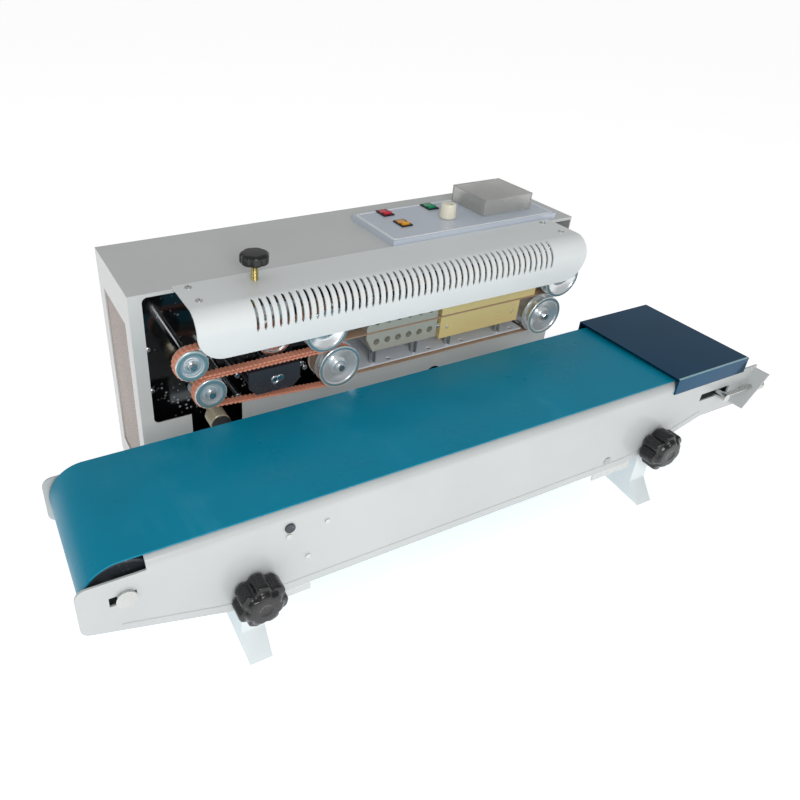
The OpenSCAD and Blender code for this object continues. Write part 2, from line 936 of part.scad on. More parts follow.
module fan_blades() {
    at = fan_at();
    y0 = plate_y + plate_t + 9;
    color("dimgray")
        placed() {
            y_bar(at[0], at[1], y0, y0 + 15, 10);
            for (i = [0:6])
                translate([at[0], y0 + 7, at[1]])
                    rotate([0, i * 360 / 7, 0])
                        translate([9, 0, 0])
                            rotate([35, 0, 0])
                                translate([0, -0.75, -7])
                                    cube([fan_r - 10, 1.5, 14]);
        }
}

module control_board() {
    left = case_right - 150;
    y0 = plate_y + plate_t;
    color("darkgreen")
        placed() {
            block([left, y0 + 12, 90], [left + 120, y0 + 14, 190]);
            for (x = [left + 6, left + 114])
                for (z = [96, 184])
                    y_bar(x, z, y0, y0 + 12, 3);
            block([left + 20, y0 + 14, 100], [left + 60, y0 + 40, 135]);
            block([left + 75, y0 + 14, 150], [left + 105, y0 + 30, 180]);
            block([left + 15, y0 + 14, 165], [left + 60, y0 + 24, 178]);
        }
}

module power_inlet() {
    left = case_x + 60;
    color("black")
        placed()
            difference() {
                union() {
                    block([left - 5, case_rear + case_t, 46], [left + 35, case_rear + case_t + 2, 76]);
                    block([left, case_rear - 20, 50], [left + 30, case_rear + case_t + 2, 72]);
                }
                block([left + 3, case_rear - 14, 53], [left + 27, case_rear + 5, 69]);
            }
}

// Controls

// Middles of the three rocker switches: red, amber, green.
function rocker_places() = [
    [panel_left + 39, panel_y + 82],
    [panel_left + 40, panel_y + 43],
    [panel_left + 104, panel_y + 80]
];

// Middle of the speed knob.
function speed_place() = [panel_left + 103, panel_y + 40];

module control_panel() {
    sheet = 2;
    at = speed_place();
    cover_x = clear_left + clear_l / 2;
    color("lightsteelblue")
        placed()
            difference() {
                union() {
                    block([panel_left, panel_y, case_top],
                        [panel_left + panel_l, panel_rear, panel_top]);
                    for (x = [cover_x - 20, cover_x + 16]) {
                        block([x, cover_hinge_y - hinge_lug_r, panel_top - 1],
                            [x + 4, cover_hinge_y + hinge_lug_r, cover_hinge_z]);
                        x_bar(cover_hinge_y, cover_hinge_z, x, x + 4, hinge_lug_r);
                    }
                }
                x_bar(cover_hinge_y, cover_hinge_z, cover_x - 21, cover_x + 21, cover_pin_r + run_gap);
                block([panel_left + sheet, panel_y + sheet, case_top - 1],
                    [panel_left + panel_l - sheet, panel_rear - sheet, panel_top - sheet]);
                for (p = rocker_places())
                    block([p[0] - rocker_w / 2 + 1, p[1] - rocker_l / 2 + 1, case_top],
                        [p[0] + rocker_w / 2 - 1, p[1] + rocker_l / 2 - 1, panel_top + 1]);
                z_bar(at[0], at[1], case_top, panel_top + 1, 3 + run_gap);
                block([clear_left + 12, clear_y + 12, case_top],
                    [clear_left + clear_l - 12, clear_y + clear_d - 12, panel_top + 1]);
            }
}

module switch_frames() {
    color("black")
        placed()
            for (p = rocker_places())
                difference() {
                    union() {
                        block([p[0] - rocker_w / 2, p[1] - rocker_l / 2, panel_top],
                            [p[0] + rocker_w / 2, p[1] + rocker_l / 2, panel_top + 1.5]);
                        block([p[0] - rocker_w / 2 + 1, p[1] - rocker_l / 2 + 1, panel_top - 8],
                            [p[0] + rocker_w / 2 - 1, p[1] + rocker_l / 2 - 1, panel_top]);
                    }
                    block([p[0] - rocker_w / 2 + 2, p[1] - rocker_l / 2 + 2, panel_top - 6],
                        [p[0] + rocker_w / 2 - 2, p[1] + rocker_l / 2 - 2, panel_top + 2]);
                    x_bar(p[1], rocker_z, p[0] - rocker_w / 2 + 1.2, p[0] + rocker_w / 2 - 1.2,
                        rocker_pin_r + run_gap);
                }
}

// A rocker's paddle on its pivot pin, drawn in its off position, pressed at its rear end.
module rocker(p) {
    half_w = rocker_w / 2 - 2 - move_gap;
    reach = rocker_l / 2 - 2 - 2 * move_gap;
    rise = 5;
    span = (reach - rise * sin(rocker_swing / 2)) / cos(rocker_swing / 2);
    translate([p[0], p[1], rocker_z])
        rotate([-rocker_swing / 2, 0, 0]) {
            x_plate(-half_w, half_w)
                polygon([[-span, -1], [span, -1], [span, rise], [0, rise - 2], [-span, rise]]);
            x_bar(0, 0, 1.3 - rocker_w / 2, rocker_w / 2 - 1.3, rocker_pin_r);
        }
}

module red_rocker() {
    color("red")
        placed()
            rocker(rocker_places()[0]);
}

module amber_rocker() {
    color("orange")
        placed()
            rocker(rocker_places()[1]);
}

module green_rocker() {
    color("green")
        placed()
            rocker(rocker_places()[2]);
}

module speed_knob() {
    at = speed_place();
    color("ivory")
        placed() {
            z_bar(at[0], at[1], panel_top + move_gap, panel_top + speed_h, speed_r);
            z_bar(at[0], at[1], panel_top - 6, panel_top + 1, 3);
        }
}

module temperature_controller() {
    inset = 8;
    color("dimgray")
        placed() {
            block([clear_left + inset, clear_y + inset, panel_top],
                [clear_left + clear_l - inset, clear_y + clear_d - inset, panel_top + 12]);
            block([clear_left + 14, clear_y + 20, case_top - 40],
                [clear_left + clear_l - 14, clear_y + clear_d - 14, panel_top]);
        }
}

module temperature_dial() {
    x = clear_left + clear_l / 2;
    y = clear_y + clear_d / 2;
    color("silver")
        placed()
            z_bar(x, y, panel_top + 12 + move_gap, panel_top + 17, 9);
}

// The clear box, with the rod and knuckle on which it tips back.
module clear_cover() {
    wall = 1.5;
    x = clear_left + clear_l / 2;
    color("lightcyan", 0.4)
        placed() {
            difference() {
                block([clear_left, clear_y, panel_top + move_gap],
                    [clear_left + clear_l, clear_y + clear_d, panel_top + clear_h]);
                block([clear_left + wall, clear_y + wall, panel_top],
                    [clear_left + clear_l - wall, clear_y + clear_d - wall,
                     panel_top + clear_h - wall]);
            }
            x_bar(cover_hinge_y, cover_hinge_z, x - 20, x + 20, cover_pin_r);
            block([x - 14, clear_y + clear_d - 1, cover_hinge_z - cover_pin_r],
                [x + 14, cover_hinge_y, cover_hinge_z + cover_pin_r]);
        }
}

// Conveyor

// Outline of a side plate below the fold, from its left end to the given right end.
module plate_outline(right) {
    top = bed_z - notch_h;
    r = 10;
    polygon(concat(
        [[plate_slope_l, plate_low_z]],
        arc(r, plate_end_z + r, r, 260, 180, 4),
        arc(r, top - r, r, 180, 90),
        [[notch_l, top], [notch_l, bed_z - shoulder_r], [conveyor_l - notch_l, bed_z - shoulder_r]],
        [[conveyor_l - notch_l, top]],
        [[right, top], [right, plate_end_z], [conveyor_l - right_flat_l, plate_end_z]],
        [[conveyor_l - right_flat_l - right_slope_l, plate_low_z]]
    ));
}

// The bed with its two rounded folds, as one outline across the conveyor.
module bed_outline() {
    w = conveyor_w;
    t = conveyor_t;
    r = shoulder_r;
    fold = bed_z - r;
    low = fold - 1;
    polygon(concat(
        [[0, low]],
        arc(r, fold, r, 180, 90),
        arc(w - r, fold, r, 90, 0),
        [[w, low], [w - t, low]],
        arc(w - r, fold, r - t, 0, 90),
        arc(r, fold, r - t, 90, 180),
        [[t, low]]
    ));
}

module conveyor_frame() {
    w = conveyor_w;
    t = conveyor_t;
    rear_right = cover_right - 2;
    color("white")
        placed()
            difference() {
                union() {
                    x_plate(notch_l, conveyor_l - notch_l)
                        bed_outline();
                    y_plate(0, t)
                        plate_outline(conveyor_l);
                    y_plate(w - t, w)
                        plate_outline(rear_right);
                    for (y = [0, w - return_w])
                        block([plate_slope_l, y, plate_low_z],
                            [conveyor_l - right_flat_l - right_slope_l, y + return_w, plate_low_z + t]);
                    y_plate(-lug_w, t)
                        polygon([[lug_right(lug_z1) - t, lug_z1], [lug_right(lug_z1), lug_z1],
                            [lug_right(lug_z0), lug_z0], [lug_right(lug_z0) - t, lug_z0]]);
                }
                block([drive_roller_x - 24, 8, bed_z - 6], [drive_roller_x + 24, w - 8, bed_z + 1]);
                block([end_x - 45, t + 1, bed_z - 6], [conveyor_l, w - t - 1, bed_z + 1]);
                for (x = [left_stand_x, right_stand_x]) {
                    y_bar(x, star_z, -1, w + 1, stud_r + run_gap);
                    for (y = [t, w - return_w - 1])
                        block([x - leg_w / 2 - 2, y, plate_low_z - 1],
                            [x + leg_w / 2 + 2, y + return_w + 1 - t, plate_low_z + t + 1]);
                }
                y_bar(drive_roller_x, drive_z, -1, w + 1, axle_r + run_gap);
                y_bar(return_roller_x, return_z(), -1, w + 1, axle_r + run_gap);
                block([roller_x - 14, -1, roller_z - axle_r], [roller_x + 9, w + 1, roller_z + axle_r]);
                block([end_x - 29, -1, roller_z - axle_r], [end_x + 21, w + 1, roller_z + axle_r]);
                x_bar(-9, roller_z, conveyor_l - lug_lean - 4, conveyor_l + 1, 3 + run_gap);
            }
}

// Right edge of the slanted lug at a height.
function lug_right(z) = conveyor_l - lug_lean * (lug_z1 - z) / lug_h;

// Height of the return roller's axis, just under the belt's lower run.
function return_z() = roller_z - belt_r - return_roller_r - move_gap;

module conveyor_belt() {
    color("teal")
        placed()
            loop_belt([roller_x, roller_z], belt_r, [end_x, roller_z], belt_r, belt_t, belt_edge,
                conveyor_w - belt_edge, 32);
}

module cover_plate() {
    t = 1.5;
    out = 2;
    color("steelblue")
        placed()
            difference() {
                block([cover_left, -out, cover_z - cover_lip],
                    [cover_right, conveyor_w + out, cover_z + t]);
                block([cover_left - 1, 0, cover_z - cover_lip - 1],
                    [cover_right + 1, conveyor_w, cover_z]);
            }
}

// Axles, take-up bolt, screws, clamp nuts, rear clamp bolts and the guards hung under the front plate.
module conveyor_fittings() {
    w = conveyor_w;
    nut_y = leg_y + leg_t + move_gap;
    head_x = lug_right(roller_z + 7);
    screws = [[drive_roller_x - 1, 134], [drive_roller_x + 19, 101], [drive_roller_x + 38, 137]];
    color("silver")
        placed() {
            y_bar(roller_x, roller_z, -3, w + 3, axle_r - move_gap);
            y_bar(roller_x, roller_z, -3, 0, 9);
            y_bar(end_x, roller_z, -14, w + 3, axle_r - move_gap);
            x_bar(-9, roller_z, end_x, head_x + 1, 3);
            x_bar(-9, roller_z, head_x, conveyor_l + bolt_out, 7);
            for (at = screws)
                y_bar(at[0], at[1], -1.2, 0, 2.5);
            for (at = [[drive_roller_x - 2, 26], [return_roller_x - 14, 58]])
                block([at[0], conveyor_t, plate_low_z - 12], [at[0] + at[1], conveyor_t + 2, plate_low_z]);
            for (x = [left_stand_x, right_stand_x]) {
                difference() {
                    y_bar(x, star_z, nut_y, nut_y + 5, nut_r);
                    y_bar(x, star_z, nut_y - 1, nut_y + 6, stud_r + run_gap);
                }
                y_bar(x, star_z, w - nut_y - 5, w, stud_r);
                y_bar(x, star_z, w - nut_y - 5, w - nut_y, nut_r);
                y_bar(x, star_z, w, w + 6, 8);
            }
        }
}

module drive_roller() {
    color("dimgray")
        placed() {
            y_bar(drive_roller_x, drive_z, 10, conveyor_w - 10, drive_roller_r - move_gap);
            y_bar(drive_roller_x, drive_z, -2, conveyor_w + 19, axle_r);
            y_bar(drive_roller_x, drive_z, conveyor_w + 3, conveyor_w + 19, 11);
        }
}

// A tube roller along Y, with a disc near each end that runs on its axle.
module roller_tube(x, z, r) {
    y0 = belt_edge + 2;
    y1 = conveyor_w - belt_edge - 2;
    disc = 6;
    difference() {
        y_bar(x, z, y0, y1, r);
        y_bar(x, z, y0 - 1, y0 + 3, r - roller_wall);
        y_bar(x, z, y0 + 3 + disc, y1 - 3 - disc, r - roller_wall);
        y_bar(x, z, y1 - 3, y1 + 1, r - roller_wall);
        y_bar(x, z, y0 - 2, y1 + 2, axle_r - move_gap + run_gap);
    }
}

module left_roller() {
    color("dimgray")
        placed()
            roller_tube(roller_x, roller_z, end_roller_r);
}

module right_roller() {
    color("dimgray")
        placed()
            roller_tube(end_x, roller_z, end_roller_r);
}

module return_roller() {
    color("gray")
        placed() {
            y_bar(return_roller_x, return_z(), 16, conveyor_w - 16, return_roller_r);
            y_bar(return_roller_x, return_z(), -1, conveyor_w + 1, axle_r);
        }
}

// A star knob with its stud.
module star_knob(x) {
    lobes = 7;
    y1 = star_y - 2;
    y0 = y1 - star_h;
    y_bar(x, star_z, y0, 12, stud_r);
    y_bar(x, star_z, y1, star_y, 9);
    y_bar(x, star_z, y0 - 5, y1, star_r - 6);
    for (i = [0:lobes - 1])
        y_bar(x + (star_r - 6) * cos(i * 360 / lobes), star_z + (star_r - 6) * sin(i * 360 / lobes),
            y0, y1, 6);
}

module left_star_knob() {
    color("black")
        placed()
            star_knob(left_stand_x);
}

module right_star_knob() {
    color("black")
        placed()
            star_knob(right_stand_x);
}

case_shell();
rear_cover();
base_plate();
rubber_feet();
vent_panels();
mounting_plate();
hood();
case_screws();
control_panel();
stands();
lower_shelf();
upper_shelf();
block_posts();
lower_heater();
upper_heater();
lower_cooler();
upper_cooler();
head_pins();
heater_cartridges();
press_bracket();
carriage_guide();
axles();
bearings();
guide_belts();
seal_bands();
gear_motor();
drive_chain();
fan_housing();
control_board();
power_inlet();
switch_frames();
temperature_controller();
lower_drive_wheel();
upper_drive_wheel();
lower_idle_wheel();
upper_idle_wheel();
lower_pulley();
upper_pulley();
emboss_carriage();
emboss_wheel();
press_wheel();
pressure_knob();
input_shaft();
fan_blades();
red_rocker();
amber_rocker();
green_rocker();
speed_knob();
temperature_dial();
clear_cover();
conveyor_frame();
conveyor_belt();
cover_plate();
conveyor_fittings();
drive_roller();
left_roller();
right_roller();
return_roller();
left_star_knob();
right_star_knob();
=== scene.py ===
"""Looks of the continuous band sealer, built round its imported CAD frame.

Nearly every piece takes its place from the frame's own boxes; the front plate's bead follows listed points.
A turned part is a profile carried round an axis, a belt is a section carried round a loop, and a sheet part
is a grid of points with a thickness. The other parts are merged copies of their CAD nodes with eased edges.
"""

import json
import logging
import math
from dataclasses import dataclass, field
from enum import Enum
from typing import Iterable, Sequence

import bmesh
import bpy
import numpy as np
from mathutils import Matrix, Vector

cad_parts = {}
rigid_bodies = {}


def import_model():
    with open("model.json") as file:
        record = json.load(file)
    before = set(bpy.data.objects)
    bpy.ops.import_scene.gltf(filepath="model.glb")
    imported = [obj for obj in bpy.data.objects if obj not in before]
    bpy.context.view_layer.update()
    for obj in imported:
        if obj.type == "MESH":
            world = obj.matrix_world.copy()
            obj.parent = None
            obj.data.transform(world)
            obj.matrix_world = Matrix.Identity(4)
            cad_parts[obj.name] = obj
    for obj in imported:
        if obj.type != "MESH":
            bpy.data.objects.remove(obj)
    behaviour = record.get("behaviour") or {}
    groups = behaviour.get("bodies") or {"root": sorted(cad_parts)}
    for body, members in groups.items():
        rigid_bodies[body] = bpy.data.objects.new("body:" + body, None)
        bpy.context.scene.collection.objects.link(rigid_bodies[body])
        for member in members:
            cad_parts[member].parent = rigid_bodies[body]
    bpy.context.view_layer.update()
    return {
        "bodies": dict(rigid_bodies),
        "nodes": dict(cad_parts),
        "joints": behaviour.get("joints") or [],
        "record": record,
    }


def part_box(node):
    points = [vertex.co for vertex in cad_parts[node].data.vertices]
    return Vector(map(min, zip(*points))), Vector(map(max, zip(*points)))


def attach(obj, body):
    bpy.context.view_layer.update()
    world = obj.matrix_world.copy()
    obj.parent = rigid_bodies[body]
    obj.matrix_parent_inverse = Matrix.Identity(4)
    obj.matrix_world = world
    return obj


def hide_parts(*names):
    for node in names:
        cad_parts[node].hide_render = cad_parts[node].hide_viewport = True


log = logging.getLogger("band_sealer")

MM = 0.001
Colour = tuple[float, float, float]


def tone(red: int, green: int, blue: int) -> Colour:
    """Turns a display colour into the linear colour that shaders use.

    Args:
        red: Red from 0 to 255.
        green: Green from 0 to 255.
        blue: Blue from 0 to 255.

    Returns:
        The linear colour, by the usual power of 2.2.
    """
    return tuple((c / 255.0) ** 2.2 for c in (red, green, blue))


# ---------------------------------------------------------------- finishes


class Grain(Enum):
    """How a finish's fine texture runs over the surface."""

    CAST = "cast"
    ALONG_X = "along_x"
    ALONG_Z = "along_z"
    TURNED = "turned"
    SPANGLE = "spangle"


class Graph:
    """A material's node tree with short calls to add and join nodes."""

    def __init__(self, name: str) -> None:
        """Starts a material that holds one Principled shader."""
        self.material = bpy.data.materials.new(name)
        self.material.use_nodes = True
        self.tree = self.material.node_tree
        self.shader = self.tree.nodes["Principled BSDF"]
        self.place = self.tree.nodes.new("ShaderNodeTexCoord")

    def add(self, kind: str, **settings: object) -> bpy.types.Node:
        """Adds a node.

        Args:
            kind: The node's type without its ShaderNode prefix.
            **settings: Values for its properties, or for its inputs where no property has the name.

        Returns:
            The new node.
        """
        node = self.tree.nodes.new("ShaderNode" + kind)
        for key, value in settings.items():
            if hasattr(node, key):
                setattr(node, key, value)
            else:
                node.inputs[key.replace("_", " ")].default_value = value
        return node

    def join(self, source: bpy.types.NodeSocket, target: bpy.types.NodeSocket) -> None:
        """Links an output to an input."""
        self.tree.links.new(source, target)

    def spread(self, scale: Sequence[float], on_uv: bool = False) -> bpy.types.NodeSocket:
        """Coordinates stretched by a factor along each axis.

        Args:
            scale: The factors.
            on_uv: Reads the piece's own UV map, in metres, and not the object's coordinates.

        Returns:
            The stretched coordinates.
        """
        mapping = self.add("Mapping")
        mapping.inputs["Scale"].default_value = scale
        self.join(self.place.outputs["UV" if on_uv else "Object"], mapping.inputs["Vector"])
        return mapping.outputs["Vector"]

    def noise(self, vector: bpy.types.NodeSocket, scale: float, detail: float) -> bpy.types.NodeSocket:
        """Noise read at the given coordinates, from 0 to 1."""
        node = self.add("TexNoise", Scale=scale, Detail=detail)
        self.join(vector, node.inputs["Vector"])
        return node.outputs["Fac"]

    def span(self, value: bpy.types.NodeSocket, low: float, high: float,
             start: float = 0.3, end: float = 0.7) -> bpy.types.NodeSocket:
        """Moves a value's middle range onto low to high."""
        node = self.add("MapRange")
        for key, number in (("From Min", start), ("From Max", end), ("To Min", low), ("To Max", high)):
            node.inputs[key].default_value = number
        self.join(value, node.inputs["Value"])
        return node.outputs["Result"]

    def blend(self, share: bpy.types.NodeSocket, first: Colour, second: Colour) -> bpy.types.NodeSocket:
        """A colour from first to second by the share."""
        node = self.add("Mix", data_type="RGBA")
        node.inputs[6].default_value = (*first, 1)
        node.inputs[7].default_value = (*second, 1)
        self.join(share, node.inputs["Factor"])
        return node.outputs[2]

    def over(self, share: bpy.types.NodeSocket, below: bpy.types.NodeSocket,
             top: Colour) -> bpy.types.NodeSocket:
        """Lays a colour over another by the share."""
        node = self.add("Mix", data_type="RGBA")
        node.inputs[7].default_value = (*top, 1)
        self.join(below, node.inputs[6])
        self.join(share, node.inputs["Factor"])
        return node.outputs[2]

    def bump(self, height: bpy.types.NodeSocket, distance: float, strength: float = 0.5) -> None:
        """Turns a height into the shader's normal, over the one that is already there."""
        node = self.add("Bump", Distance=distance, Strength=strength)
        self.join(height, node.inputs["Height"])
        for link in list(self.shader.inputs["Normal"].links):
            self.join(link.from_socket, node.inputs["Normal"])
        self.join(node.outputs["Normal"], self.shader.inputs["Normal"])


@dataclass(frozen=True)
class Finish:
    """A surface with soft colour drift, a fine grain and specks of a second colour, all worked out in space.
    On the black plate the specks are painted highlights.
    """

    name: str
    colour: Colour
    metallic: float = 0.0
    roughness: float = 0.45
    grain: Grain = Grain.CAST
    fineness: float = 900.0
    depth: float = 0.00003
    drift: float = 0.08
    coat: float = 0.0
    coat_roughness: float = 0.08
    sheen: float = 0.0
    specks: float = 0.0
    speck_scale: float = 260.0
    speck_colour: Colour = (0.8, 0.8, 0.8)
    clear: float = 0.0
    ior: float = 1.5
    subsurface: float = 0.0

    def stretch(self) -> tuple[tuple[float, float, float], bool]:
        """The grain's stretch along each axis, and whether it reads the piece's UV map."""
        return {
            Grain.CAST: ((1, 1, 1), False),
            Grain.ALONG_X: ((0.02, 1, 1), False),
            Grain.ALONG_Z: ((1, 1, 0.03), False),
            Grain.TURNED: ((0.02, 1, 1), True),
            Grain.SPANGLE: ((1, 1, 1), False),
        }[self.grain]

    def material(self) -> bpy.types.Material:
        """Builds the material once and gives the same one after that."""
        known = bpy.data.materials.get(self.name)
        if known is not None and "finish" in known:
            return known
        graph = Graph(self.name)
        self.shade(graph)
        graph.material["finish"] = True
        return graph.material

    def shade(self, graph: Graph) -> None:
        """Joins the nodes: colour drift and specks, roughness and bump from the grain."""
        shader = graph.shader
        plain = graph.spread((1, 1, 1))
        drift = graph.noise(plain, 9.0, 3.0)
        dark = tuple(c * (1 - self.drift) for c in self.colour)
        light = tuple(min(1.0, c * (1 + self.drift * 0.6)) for c in self.colour)
        colour = graph.blend(graph.span(drift, 0, 1), dark, light)
        stretch, on_uv = self.stretch()
        lined = graph.spread(stretch, on_uv)
        if self.grain is Grain.SPANGLE:
            cells = graph.add("TexVoronoi", Scale=self.fineness)
            graph.join(lined, cells.inputs["Vector"])
            grain = graph.span(cells.outputs["Distance"], 0, 1, 0.1, 0.6)
        else:
            grain = graph.noise(lined, self.fineness, 4.0)
        # Specks of the speck colour laid on in patches; on the black plate they are painted highlights.
        if self.specks > 0:
            spots = graph.add("TexVoronoi", Scale=self.speck_scale)
            graph.join(plain, spots.inputs["Vector"])
            patches = graph.noise(plain, 28.0, 4.0)
            near = graph.span(spots.outputs["Distance"], 1, 0, 0.16, 0.30)
            share = graph.add("Math", operation="MULTIPLY")
            graph.join(near, share.inputs[0])
            graph.join(graph.span(patches, 0, self.specks, 0.50, 0.60), share.inputs[1])
            colour = graph.over(share.outputs[0], colour, self.speck_colour)
        graph.join(colour, shader.inputs["Base Color"])
        rough = graph.span(grain, self.roughness * 0.8, min(1.0, self.roughness * 1.25))
        graph.join(rough, shader.inputs["Roughness"])
        graph.bump(grain, self.depth)
        shader.inputs["Metallic"].default_value = self.metallic
        shader.inputs["IOR"].default_value = self.ior
        shader.inputs["Coat Weight"].default_value = self.coat
        shader.inputs["Coat Roughness"].default_value = self.coat_roughness
        shader.inputs["Sheen Weight"].default_value = self.sheen
        shader.inputs["Transmission Weight"].default_value = self.clear
        shader.inputs["Subsurface Weight"].default_value = self.subsurface
        shader.inputs["Subsurface Scale"].default_value = 0.002


@dataclass(frozen=True)
class BeltCover(Finish):
    """Glossy belt skin with faint scuffs that run across it and light handling marks."""

    scuff: Colour = (0.07, 0.34, 0.44)

    def shade(self, graph: Graph) -> None:
        """Builds the belt's skin: base gloss, wide cloudy marks and thin streaks across the belt."""
        plain = graph.spread((1, 1, 1))
        clouds = graph.noise(plain, 14.0, 6.0)
        across = graph.noise(graph.spread((1, 0.08, 1)), 60.0, 3.0)
        dull = tuple(c * 0.93 for c in self.colour)
        colour = graph.blend(graph.span(clouds, 0, 1, 0.35, 0.65), dull, self.colour)
        marks = graph.add("Math", operation="MULTIPLY")
        graph.join(graph.span(clouds, 0, 0.5, 0.55, 0.78), marks.inputs[0])
        graph.join(graph.span(across, 0, 1, 0.45, 0.75), marks.inputs[1])
        colour = graph.over(marks.outputs[0], colour, self.scuff)
        graph.join(colour, graph.shader.inputs["Base Color"])
        rough = graph.span(clouds, self.roughness * 0.75, self.roughness * 1.5)
        graph.join(rough, graph.shader.inputs["Roughness"])
        graph.bump(graph.noise(plain, self.fineness, 3.0), self.depth)
        graph.bump(graph.noise(plain, 30.0, 1.0), 0.0004, 0.12)
        graph.shader.inputs["IOR"].default_value = self.ior
        graph.shader.inputs["Coat Weight"].default_value = self.coat
        graph.shader.inputs["Coat Roughness"].default_value = self.coat_roughness


@dataclass(frozen=True)
class Weave(Finish):
    """Coated glass cloth: two crossing sets of fine ribs along and across the band."""

    pitch: float = 0.0009

    def shade(self, graph: Graph) -> None:
        """Builds the cloth: a wave along the band times a wave across it lifts it, and stretched noise
        varies its colour and roughness.
        """
        across = graph.add("TexWave", Scale=0.05 / self.pitch, bands_direction="X")
        along = graph.add("TexWave", Scale=0.05 / self.pitch, bands_direction="Y")
        flat = graph.spread((1, 1, 1), on_uv=True)
        for wave in (across, along):
            graph.join(flat, wave.inputs["Vector"])
        ribs = graph.add("Math", operation="MULTIPLY")
        graph.join(across.outputs["Fac"], ribs.inputs[0])
        graph.join(along.outputs["Fac"], ribs.inputs[1])
        stain = graph.noise(graph.spread((0.2, 1, 1), on_uv=True), 160.0, 4.0)
        colour = graph.blend(graph.span(stain, 0, 1), tuple(c * 0.78 for c in self.colour), self.colour)
        graph.join(colour, graph.shader.inputs["Base Color"])
        rough = graph.span(stain, self.roughness * 0.8, self.roughness * 1.2)
        graph.join(rough, graph.shader.inputs["Roughness"])
        graph.bump(ribs.outputs[0], self.depth)
        graph.shader.inputs["Coat Weight"].default_value = self.coat


CASE = Finish("case enamel",
              tone(200, 203, 202), roughness=0.34, coat=0.25, drift=0.04, fineness=1500, depth=0.00002)
HOOD = Finish("hood enamel",
              tone(222, 226, 226), roughness=0.32, coat=0.3, drift=0.03, fineness=1500, depth=0.00002)
PLATES = Finish("conveyor enamel",
                tone(190, 194, 194), roughness=0.36, coat=0.25, drift=0.05, fineness=1300, depth=0.00002)
LEGS = Finish("stand enamel",
              tone(222, 230, 232), roughness=0.38, coat=0.2, drift=0.05, fineness=1300, depth=0.00002)
PANEL = Finish("panel enamel",
               tone(194, 204, 216), roughness=0.30, coat=0.3, drift=0.05, fineness=1600, depth=0.00002)
# The rim's lighter tone over the panel enamel is a painted highlight on the raised bead.
RIM = Finish("panel rim highlight",
             tone(222, 228, 234), roughness=0.25, coat=0.3, drift=0.03, fineness=1600, depth=0.00002)
VENT = Finish("vent sheet", tone(176, 164, 158), metallic=0.35, roughness=0.42, drift=0.12)
# The black plate's pale specks are painted highlights, not marks on the plate.
BLACK = Finish("black gloss plate", tone(14, 15, 17), roughness=0.12, coat=0.8, drift=0.2, fineness=500,
               specks=1.0, speck_scale=170.0, speck_colour=tone(214, 220, 224))
ZINC_SHEET = Finish("galvanised sheet", tone(168, 172, 174), metallic=0.8, roughness=0.4,
                    grain=Grain.SPANGLE,
                    fineness=90, depth=0.00001, drift=0.12)
SHELF = Finish("shelf enamel", tone(222, 228, 236), roughness=0.32, coat=0.2, drift=0.06)
TURNED = Finish("turned steel", tone(232, 236, 238), metallic=0.72, roughness=0.2, grain=Grain.TURNED,
                fineness=2600, depth=0.000015, drift=0.08)
RIM_TINT = Finish("tinted rim", tone(150, 184, 188), metallic=0.6, roughness=0.22, grain=Grain.TURNED,
                  fineness=2400, depth=0.00001, drift=0.15)
POLISHED = Finish("polished steel", tone(208, 212, 216), metallic=1.0, roughness=0.14,
                  grain=Grain.ALONG_Z,
                  fineness=1400, depth=0.00001, drift=0.1)
ZINC = Finish("bright zinc", tone(206, 208, 206), metallic=1.0, roughness=0.24, drift=0.14, fineness=700)
YELLOW_ZINC = Finish("yellow zinc",
                     tone(206, 190, 126), metallic=1.0, roughness=0.24, drift=0.3, fineness=500)
GOLD = Finish("gold block", tone(255, 228, 160), metallic=0.3, roughness=0.34, grain=Grain.ALONG_X,
              fineness=1800, depth=0.00002, drift=0.08)
BRASS = Finish("pale brass", tone(232, 224, 196), metallic=0.5, roughness=0.22, drift=0.2)
MILLED = Finish("milled aluminium", tone(206, 205, 192), metallic=0.4, roughness=0.36,
                grain=Grain.ALONG_X,
                fineness=1500, depth=0.00002, drift=0.1)
BRACKET = Finish("bracket enamel", tone(52, 54, 60), roughness=0.4, coat=0.2, drift=0.2, specks=0.35,
                 speck_colour=tone(120, 122, 128))
ORANGE = Finish("guide belt",
                tone(222, 146, 118), roughness=0.55, drift=0.16, fineness=1200, depth=0.00005, sheen=0.1)
TAN = Weave("band cloth", tone(190, 160, 134), roughness=0.5, depth=0.00006, coat=0.1)
MOTOR = Finish("motor casting",
               tone(92, 96, 102), metallic=0.5, roughness=0.5, fineness=700, depth=0.00012, drift=0.12)
CHAIN = Finish("oiled chain", tone(104, 100, 96), metallic=1.0, roughness=0.35, drift=0.3)
BLACK_PLASTIC = Finish("black plastic",
                       tone(26, 27, 29), roughness=0.45, drift=0.2, fineness=2200, depth=0.00004)
BOARD = Finish("circuit board", tone(30, 92, 56), roughness=0.35, coat=0.4, drift=0.2, specks=0.8,
               speck_colour=tone(196, 190, 150))
RUBBER = Finish("black rubber",
                tone(24, 24, 25), roughness=0.75, drift=0.25, fineness=1400, depth=0.00008)
PHENOLIC = Finish("knob phenolic", tone(12, 13, 17), roughness=0.28, coat=0.15, drift=0.25, fineness=900)
RED = Finish("red lens",
             tone(232, 36, 66), roughness=0.14, coat=0.6, drift=0.3, fineness=1500, depth=0.00004,
             subsurface=0.15)
AMBER = Finish("amber lens",
               tone(255, 170, 28), roughness=0.14, coat=0.6, drift=0.25, fineness=1500,
               depth=0.00004, subsurface=0.15)
GREEN = Finish("green lens",
               tone(10, 166, 112), roughness=0.14, coat=0.6, drift=0.3, fineness=1500,
               depth=0.00004, subsurface=0.15)
CONTROLLER = Finish("controller housing",
                    tone(128, 132, 134), roughness=0.4, drift=0.1, fineness=1800, depth=0.00003)
